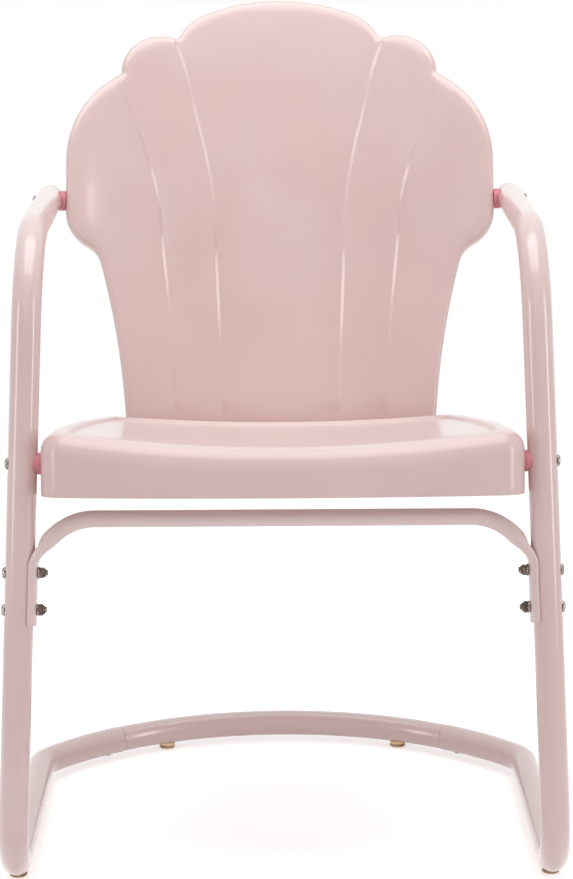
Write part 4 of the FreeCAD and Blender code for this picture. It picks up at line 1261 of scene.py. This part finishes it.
def hexagon_reach(flats):
    """Distance of a hexagon's outline from its middle at even turns."""
    turns = (ring_turns(LATHE_POINTS) + HEXAGON / 2) % HEXAGON - HEXAGON / 2
    return flats / 2 / np.cos(HEXAGON / 2 - np.abs(turns))


def uneven_rings(profile):
    """Rings from pairs of reach and height, either of which may change round the ring."""
    turns = ring_turns(LATHE_POINTS)
    return [
        np.stack([reach * np.cos(turns), reach * np.sin(turns), np.broadcast_to(height, turns.shape)], axis=1)
        for reach, height in profile
    ]


def looped(rings):
    """Skin that closes on itself, such as a washer."""
    points, faces = skin(rings, closed=False)
    count = len(rings[0])
    last = (len(rings) - 1) * count
    for corner in range(count):
        on = (corner + 1) % count
        faces.append([last + corner, last + on, on, corner])
    return points, faces


def bolt_part(shank):
    """Button-head socket screw: the head stands on z = 0 and the threaded shank runs down."""
    sizes = settings("fittings")
    radius = sizes.bolt_diameter / 2
    wide = sizes.head_diameter / 2
    high = sizes.head_height
    profile = [(radius - SHANK_EDGE, -shank), (radius, SHANK_EDGE - shank)]
    turn = SHANK_EDGE - shank + THREAD_PITCH * 0.3
    for _ in range(THREADS):
        profile += [(radius, turn), (radius - THREAD_DEPTH, turn + THREAD_PITCH / 2)]
        turn += THREAD_PITCH
    profile += [(radius, turn), (radius, 0), (wide * 0.93, 0), (wide, high * 0.07), (wide, high * 0.16)]
    dome_end = wide * 0.56
    for share in np.linspace(0, 1, 9)[1:]:
        profile.append((
            dome_end + (wide - dome_end) * math.cos(share * math.pi / 2),
            high * (0.16 + 0.84 * math.sin(share * math.pi / 2)),
        ))
    socket = hexagon_reach(sizes.socket_flats)
    floor = high - sizes.socket_depth
    return skin(lathe(profile) + uneven_rings((
        (socket + 0.25 * MM, high), (socket, high - 0.25 * MM), (socket, floor), (0.4 * MM, floor - 0.5 * MM),
    )))


def washer_part():
    """Flat washer with soft edges."""
    sizes = settings("fittings")
    wide, high, edge = sizes.washer_diameter / 2, sizes.washer_thickness, 0.18 * MM
    return looped(lathe((
        (BOLT_BORE, 0), (wide - edge, 0), (wide, edge),
        (wide, high - edge), (wide - edge, high), (BOLT_BORE, high),
    )))


def nut_part():
    """Locking nut: chamfered hexagon, round collar and plastic ring."""
    sizes = settings("fittings")
    flat = sizes.nut_flats / 2
    hexagon = hexagon_reach(sizes.nut_flats)
    chamfer = (hexagon - flat) * CHAMFER_SLOPE
    high = sizes.nut_height
    top = high * 0.72
    bore = sizes.bolt_diameter / 2 + SEATING
    collar = flat * 0.86
    return looped(uneven_rings((
        (bore + 0.3 * MM, 0), (flat - 0.2 * MM, 0), (hexagon, chamfer + 0.1 * MM),
        (hexagon, top - chamfer - 0.1 * MM), (flat - 0.2 * MM, top), (collar, top),
        (collar, high - 0.5 * MM), (collar - 0.15 * MM, high - 0.15 * MM), (collar - 0.5 * MM, high),
        (collar - 0.75 * MM, high - 0.2 * MM), (bore + 0.1 * MM, high - 0.25 * MM),
        (bore, high - 0.5 * MM), (bore, 0.3 * MM),
    )))


def nut_inserts(count):
    """Finish of each face of some nuts: the ring round the bore is nylon."""
    rows = [int(ring in NYLON_RINGS) for ring in range(NUT_RINGS) for _ in range(LATHE_POINTS)]
    return rows * count


def make_stack(name, heads, washers, nuts):
    """Pieces of the bolts, washers and nuts that hold one thing."""
    for piece, node, slot, parts, inserts in (
        ("button_bolts", "bolts", "zinc_steel", heads, None),
        ("flat_washers", "washers", "zinc_steel", washers, None),
        ("lock_nuts", "nuts", "nut_steel", nuts, nut_inserts(len(nuts))),
    ):
        make_piece(f"{name}_{piece}", *joined(parts), slot, [f"{name}_{node}"], "upper", SCREW_SHARP, inserts)


def shank_length(clamped):
    sizes = settings("fittings")
    return clamped + sizes.washer_thickness + sizes.nut_height + SHANK_SPARE


def stack_pieces(name, bolts, inner_face, clamped):
    """Bolts with heads outside the tubes, and washers and nuts inside what they clamp, on both sides."""
    tubes = settings("tubes")
    head = tubes.tube_diameter / 2 - tubes.dent_depth + SEATING
    shank = shank_length(tubes.tube_diameter - tubes.dent_depth + clamped)
    heads, washers, nuts = [], [], []
    for number, bolt in enumerate(bolts):
        twist = 0.35 + 0.6 * number
        face = bolt - X_AXIS * (inner_face + SEATING)
        heads += both_sides(seated(twisted(bolt_part(shank), twist), bolt + X_AXIS * head, X_AXIS))
        washers += both_sides(seated(washer_part(), face, -X_AXIS))
        nut_place = face - X_AXIS * (settings("fittings").washer_thickness + SEATING)
        nuts += both_sides(seated(twisted(nut_part(), twist + 0.3), nut_place, -X_AXIS))
    make_stack(name, heads, washers, nuts)


def twisted(part, turn):
    """A part turned about its own Z axis."""
    points, faces = part
    spin = np.array(Matrix.Rotation(turn, 3, "Z"))
    return points @ spin.T, faces


def rear_bolt_axis():
    """Middle of the rear wall's wrap, and the way of the right rear bolt out of it."""
    sheets = settings("sheets")
    turn = math.asin(REAR_BOLT_HALF / sheets.back_wrap)
    middle, level = sheets.seat_rear - sheets.back_wrap, SEAT_TOP + REAR_BOLT_DROP
    on_wrap = [math.sin(turn), middle + math.cos(turn), level]
    start, end = seat_to_frame(np.array([[0.0, middle, level], on_wrap]))
    return start, end - start


class LAWNCHAIR_OT_fasteners(bpy.types.Operator):
    """Build the bolts, washers and locking nuts of brace, seat, arms and back"""

    bl_idname = "lawn_chair.fasteners"
    bl_label = "Bolts, washers and nuts"

    def execute(self, context):
        tubes = settings("tubes")
        sheets = settings("sheets")
        sizes = settings("fittings")
        face = tubes.tube_diameter / 2 + TAB_CLEARANCE + tubes.tab_thickness
        face += TAB_SPLAY * sizes.washer_diameter / 2
        stack_pieces("brace", BRACE_BOLTS, face, tubes.tab_thickness)
        for name, bolt, gap in (("seat", SEAT_BOLT, sizes.seat_gap), ("arm", ARM_BOLT, sizes.arm_gap)):
            face = tubes.tube_diameter / 2 + gap + sheets.sheet
            stack_pieces(name, [bolt], face, gap + sheets.sheet)
        start, way = rear_bolt_axis()
        shank = shank_length(2 * sheets.sheet + PRESS_GAP)
        head = start + way * (sheets.back_wrap - sheets.sheet - 2 * SEATING)
        washer = start + way * (sheets.back_wrap + sheets.sheet + 2 * PRESS_GAP)
        nut = washer + way * (sizes.washer_thickness + SEATING)
        parts = ((bolt_part(shank), head, -way), (washer_part(), washer, way), (nut_part(), nut, way))
        make_stack("back", *(both_sides(seated(*part)) for part in parts))
        profile = rounded([
            (0.4 * MM, 8 * MM), (1.4 * MM, 8 * MM), (2.05 * MM, 6.8 * MM), (2.05 * MM, 0), (4.25 * MM, 0),
            (3.4 * MM, -0.7 * MM), (2.1 * MM, -1.1 * MM), (1.1 * MM, -1.1 * MM), (0.9 * MM, -0.2 * MM),
            (0.2 * MM, -0.1 * MM),
        ], 0.3 * MM)
        screw = seated(skin(lathe(profile)), JOINT_SCREW - Z_AXIS * SEATING, Z_AXIS)
        pair = joined(both_sides(screw))
        make_piece("rear_joint_screws", *pair, "zinc_steel", ["rear_tube_screws"], "base", SCREW_SHARP)
        return {"FINISHED"}


def saddle_part(bolt, gap, way):
    """Plastic spacer from the sheet's wall to the tube, with a saddle that cups the tube."""
    sizes = settings("fittings")
    tubes = settings("tubes")
    tube = tubes.tube_diameter / 2
    wide = sizes.spacer_diameter / 2
    wrap = sizes.spacer_wrap
    wall = bolt - X_AXIS * (tube + gap - SEATING)
    axis = unit(way - X_AXIS * (way @ X_AXIS))
    across = np.cross(axis, X_AXIS)
    turns = ring_turns(SADDLE_POINTS)
    spokes = np.cos(turns)[:, None] * across + np.sin(turns)[:, None] * axis

    def flat_ring(reach, height):
        return wall + spokes * reach + X_AXIS * height

    def saddle_ring(reach, sink):
        off = np.abs(np.cos(turns) * reach)
        height = gap + tube - np.sqrt((tube + SEATING) ** 2 - off ** 2) - SEATING
        return wall + spokes * reach + X_AXIS * (np.minimum(height, gap + wrap) - sink)[:, None]

    edge = 0.7 * MM
    flat = ((BOLT_BORE, 0), (wide - edge, 0), (wide - edge * 0.3, edge * 0.3), (wide, edge))
    saddle = (
        (wide, edge * 1.4), (wide - edge * 0.25, edge * 0.3), (wide - edge, 0),
        (wide * 0.66, 0), (BOLT_BORE, 0),
    )
    return looped([flat_ring(*place) for place in flat] + [saddle_ring(*place) for place in saddle])


class LAWNCHAIR_OT_spacers(bpy.types.Operator):
    """Build the moulded spacers between the tubes and the pressed sheets"""

    bl_idname = "lawn_chair.spacers"
    bl_label = "Spacers"

    def execute(self, context):
        sizes = settings("fittings")
        arm_way = unit(ARM_END - ARM_BEND[0])
        for name, bolt, gap, way in (
            ("seat", SEAT_BOLT, sizes.seat_gap, LEG_WAY), ("arm", ARM_BOLT, sizes.arm_gap, arm_way),
        ):
            pair = joined(both_sides(saddle_part(bolt, gap, way)))
            piece, nodes = f"{name}_saddle_spacers", [f"{name}_spacers"]
            make_piece(piece, *pair, "spacer_plastic", nodes, "upper", sharp=50)
        return {"FINISHED"}


def glide_part(place, axis_way, tube_radius):
    """Glide: a domed puck whose top cups the tube above it."""
    sizes = settings("fittings")
    wide = sizes.foot_diameter / 2
    turns = ring_turns(SADDLE_POINTS)
    spokes = np.stack([np.cos(turns), np.sin(turns), np.zeros(SADDLE_POINTS)], axis=1)
    across = np.cross(axis_way, Z_AXIS)

    def flat_ring(reach, height):
        return place + spokes * reach + Z_AXIS * height

    def cup_ring(reach, sink):
        off = np.abs(spokes @ across) * reach
        height = TUBE_HEIGHT - np.sqrt(tube_radius ** 2 - off ** 2) - SEATING
        height = np.minimum(height, sizes.foot_height + 2 * MM) - sink
        return place + spokes * reach + Z_AXIS * height[:, None]

    edge = 2 * MM
    flat = [(2 * MM, 0.25 * MM), (wide * 0.55, 0.1 * MM), (wide - edge, 0)]
    for turn in np.linspace(0, 1, 6)[1:] * math.pi / 2:
        flat.append((wide - edge * (1 - math.sin(turn)), edge * (1 - math.cos(turn))))
    cup = (
        (wide, 0.5 * MM), (wide - 0.15 * MM, 0.15 * MM), (wide - 0.5 * MM, 0),
        (wide * 0.7, 0), (wide * 0.45, 0),
    )
    return skin([flat_ring(*ring) for ring in flat] + [cup_ring(*ring) for ring in cup])


class LAWNCHAIR_OT_glides(bpy.types.Operator):
    """Build the four amber glides under the tubes"""

    bl_idname = "lawn_chair.glides"
    bl_label = "Glides"

    def execute(self, context):
        tubes = settings("tubes")
        bow_way = unit(np.array([REAR_FOOT[1] - BOW_AXIS[1], -REAR_FOOT[0], 0.0]))
        for name, place, way, diameter in (
            ("front", FRONT_FOOT, Y_AXIS, tubes.tube_diameter),
            ("rear", REAR_FOOT, bow_way, tubes.rear_diameter),
        ):
            pair = joined(both_sides(glide_part(place, way, diameter / 2)))
            make_piece(f"{name}_glides", *pair, "glide_plastic", [f"{name}_feet"], "base", sharp=50)
        return {"FINISHED"}


class LAWNCHAIR_OT_plugs(bpy.types.Operator):
    """Build the plugs in the rear ends of the arms"""

    bl_idname = "lawn_chair.plugs"
    bl_label = "Arm plugs"

    def execute(self, context):
        tubes = settings("tubes")
        crown = settings("fittings").cap_crown
        radius = tubes.tube_diameter / 2
        bore = radius - tubes.tube_wall - 0.15 * MM
        rise = 0.9 * MM
        profile = [(bore - 1 * MM, -11 * MM), (bore, -10 * MM)]
        for rib in (-8, -5.5, -3):
            profile += [(bore - 0.7 * MM, (rib - 0.6) * MM), (bore, rib * MM), (bore, (rib + 0.3) * MM)]
        profile += [(bore, 0.06 * MM), (radius - 0.3 * MM, 0.06 * MM), (radius, 0.35 * MM), (radius, rise)]
        for turn in np.linspace(0, 1, 10)[1:-1] * math.pi / 2:
            profile.append((radius * math.cos(turn) ** 0.8, rise + (crown - rise) * math.sin(turn)))
        profile.append((0.5 * MM, crown))
        plug = seated(skin(lathe(profile, SADDLE_POINTS)), ARM_END, unit(ARM_END - ARM_BEND[0]))
        make_piece("arm_plugs", *joined(both_sides(plug)), "cap_plastic", ["arm_end_caps"], "upper")
        return {"FINISHED"}


# Stage.

# Name, size, place, and the height over the middle of the floor at which the lamp points.
LAMPS = (
    ("top", (2.4, 2.0), (0.0, -0.25, 2.85), 0.4),
    ("right", (0.5, 1.5), (2.3, -1.3, 1.0), 0.7),
    ("left", (0.5, 1.2), (-2.3, -1.3, 0.95), 0.7),
    ("front", (2.4, 1.2), (0, -3.4, 2.2), 0.5),
)
WHITE = (1, 1, 1)
FLOOR_SHADES = ((0.93, 0.93, 0.93), (0.96, 0.96, 0.96))
FLOOR_PLAIN = (0.92, 0.92, 0.92)


def make_lamp(name, watts, size, place, target):
    lamp = bpy.data.lights.new(name, "AREA")
    lamp.shape = "RECTANGLE"
    lamp.energy = watts
    lamp.size, lamp.size_y = size
    item = add_item(name, lamp)
    item.location = place
    item.rotation_euler = (Vector(target) - Vector(place)).to_track_quat("-Z", "Y").to_euler()


def seen_plainly(coat):
    """1 where a ray comes from the camera, or by way of a mirror or glass."""
    names = ("Is Camera Ray", "Is Glossy Ray", "Is Transmission Ray")
    rays = [coat.node("ShaderNodeLightPath", output=name) for name in names]
    return coat.node(
        "ShaderNodeMath", {"operation": "ADD", "use_clamp": True}, {0: rays[0] + rays[1], 1: rays[2]}
    )


def floor_finish():
    """White floor that keeps the shadow near the chair and is plain white further out."""
    coat = Coat("white_floor")
    away = coat.node("ShaderNodeVectorMath", {"operation": "LENGTH"}, {0: coat.place()}, output="Value")
    far = coat.clamped(away, 0.75, 2.2)
    lit = coat.node("ShaderNodeBsdfDiffuse", {}, {"Color": coat.blend(coat.noise(3.0), *FLOOR_SHADES)})
    glow = coat.node("ShaderNodeEmission", {}, {"Color": WHITE, "Strength": settings("stage").floor_glow})
    white = coat.node("ShaderNodeEmission", {}, {"Color": WHITE, "Strength": 1.0})
    near = coat.node("ShaderNodeAddShader", {}, {0: lit, 1: glow})
    seen = coat.node("ShaderNodeMixShader", {}, {0: far, 1: near, 2: white})
    plain = coat.node("ShaderNodeBsdfDiffuse", {}, {"Color": FLOOR_PLAIN})
    coat.end(coat.node("ShaderNodeMixShader", {}, {0: seen_plainly(coat), 1: plain, 2: seen}))
    return coat.material


class LAWNCHAIR_OT_stage(bpy.types.Operator):
    """Set up the white floor, the room light, the lamps and the camera"""

    bl_idname = "lawn_chair.stage"
    bl_label = "Floor, lamps and camera"

    def execute(self, context):
        stage = settings("stage")
        reach = stage.floor_reach
        corners = [(-reach, -reach, 0), (reach, -reach, 0), (reach, reach, 0), (-reach, reach, 0)]
        mesh = bpy.data.meshes.new("floor")
        mesh.from_pydata(corners, [], [(0, 1, 2, 3)])
        mesh.materials.append(floor_finish())
        floor = add_item("floor", mesh)

        world = bpy.data.worlds.new("white_room")
        world.use_nodes = True
        context.scene.world = world
        room = Coat("white_room", world.node_tree)
        seen = room.node("ShaderNodeBackground", {}, {"Color": WHITE, "Strength": 1.0})
        light = room.node("ShaderNodeBackground", {}, {"Color": WHITE, "Strength": stage.world_strength})
        mixed = room.node("ShaderNodeMixShader", {}, {0: seen_plainly(room), 1: light, 2: seen})
        room.end(mixed, "ShaderNodeOutputWorld")

        for name, size, place, height in LAMPS:
            make_lamp(f"{name}_softbox", getattr(stage, f"{name}_power"), size, place, (0, 0, height))

        lens = bpy.data.cameras.new("front_camera")
        lens.lens = stage.lens
        pitch, yaw, roll = stage.pitch, stage.yaw, stage.roll
        ahead = np.array([math.sin(yaw) * math.cos(pitch), math.cos(yaw) * math.cos(pitch), -math.sin(pitch)])
        level = np.array([math.cos(yaw), -math.sin(yaw), 0.0])
        upright = np.cross(level, ahead)
        right = math.cos(roll) * level + math.sin(roll) * upright
        up = -math.sin(roll) * level + math.cos(roll) * upright
        turn = np.eye(4)
        turn[:3, :3] = np.column_stack([right, up, -ahead])
        turn[:3, 3] = (stage.camera_x, stage.camera_y, stage.camera_z)
        camera = add_item("front_camera", lens)
        camera.matrix_world = Matrix(turn.tolist())
        context.scene.camera = camera
        context.scene.view_settings.view_transform = "Standard"
        return {"FINISHED"}


OPERATORS = (
    LAWNCHAIR_OT_side_tubes, LAWNCHAIR_OT_rear_tube, LAWNCHAIR_OT_brace, LAWNCHAIR_OT_seat, LAWNCHAIR_OT_back,
    LAWNCHAIR_OT_fasteners, LAWNCHAIR_OT_spacers, LAWNCHAIR_OT_glides, LAWNCHAIR_OT_plugs, LAWNCHAIR_OT_stage,
)


class LAWNCHAIR_PT_build(bpy.types.Panel):
    """Pieces of the lawn chair and their settings"""

    bl_idname = "LAWNCHAIR_PT_build"
    bl_label = "Lawn Chair"
    bl_space_type = "VIEW_3D"
    bl_region_type = "UI"
    bl_category = "Lawn Chair"

    def draw(self, context):
        for operator in OPERATORS:
            self.layout.operator(operator.bl_idname)
        for group, kind in SETTINGS:
            box = self.layout.box()
            box.label(text=kind.__doc__)
            for key in kind.__annotations__:
                box.prop(settings(group), key)


def register():
    for group, kind in SETTINGS:
        bpy.utils.register_class(kind)
        setattr(bpy.types.Scene, f"lawn_chair_{group}", PointerProperty(type=kind))
    for kind in (*OPERATORS, LAWNCHAIR_PT_build):
        bpy.utils.register_class(kind)


def unregister():
    for kind in (LAWNCHAIR_PT_build, *OPERATORS[::-1]):
        bpy.utils.unregister_class(kind)
    for group, kind in SETTINGS[::-1]:
        delattr(bpy.types.Scene, f"lawn_chair_{group}")
        bpy.utils.unregister_class(kind)


def main():
    register()
    for operator in OPERATORS:
        group, name = operator.bl_idname.split(".")
        getattr(getattr(bpy.ops, group), name)()


if __name__ == "__main__":
    main()
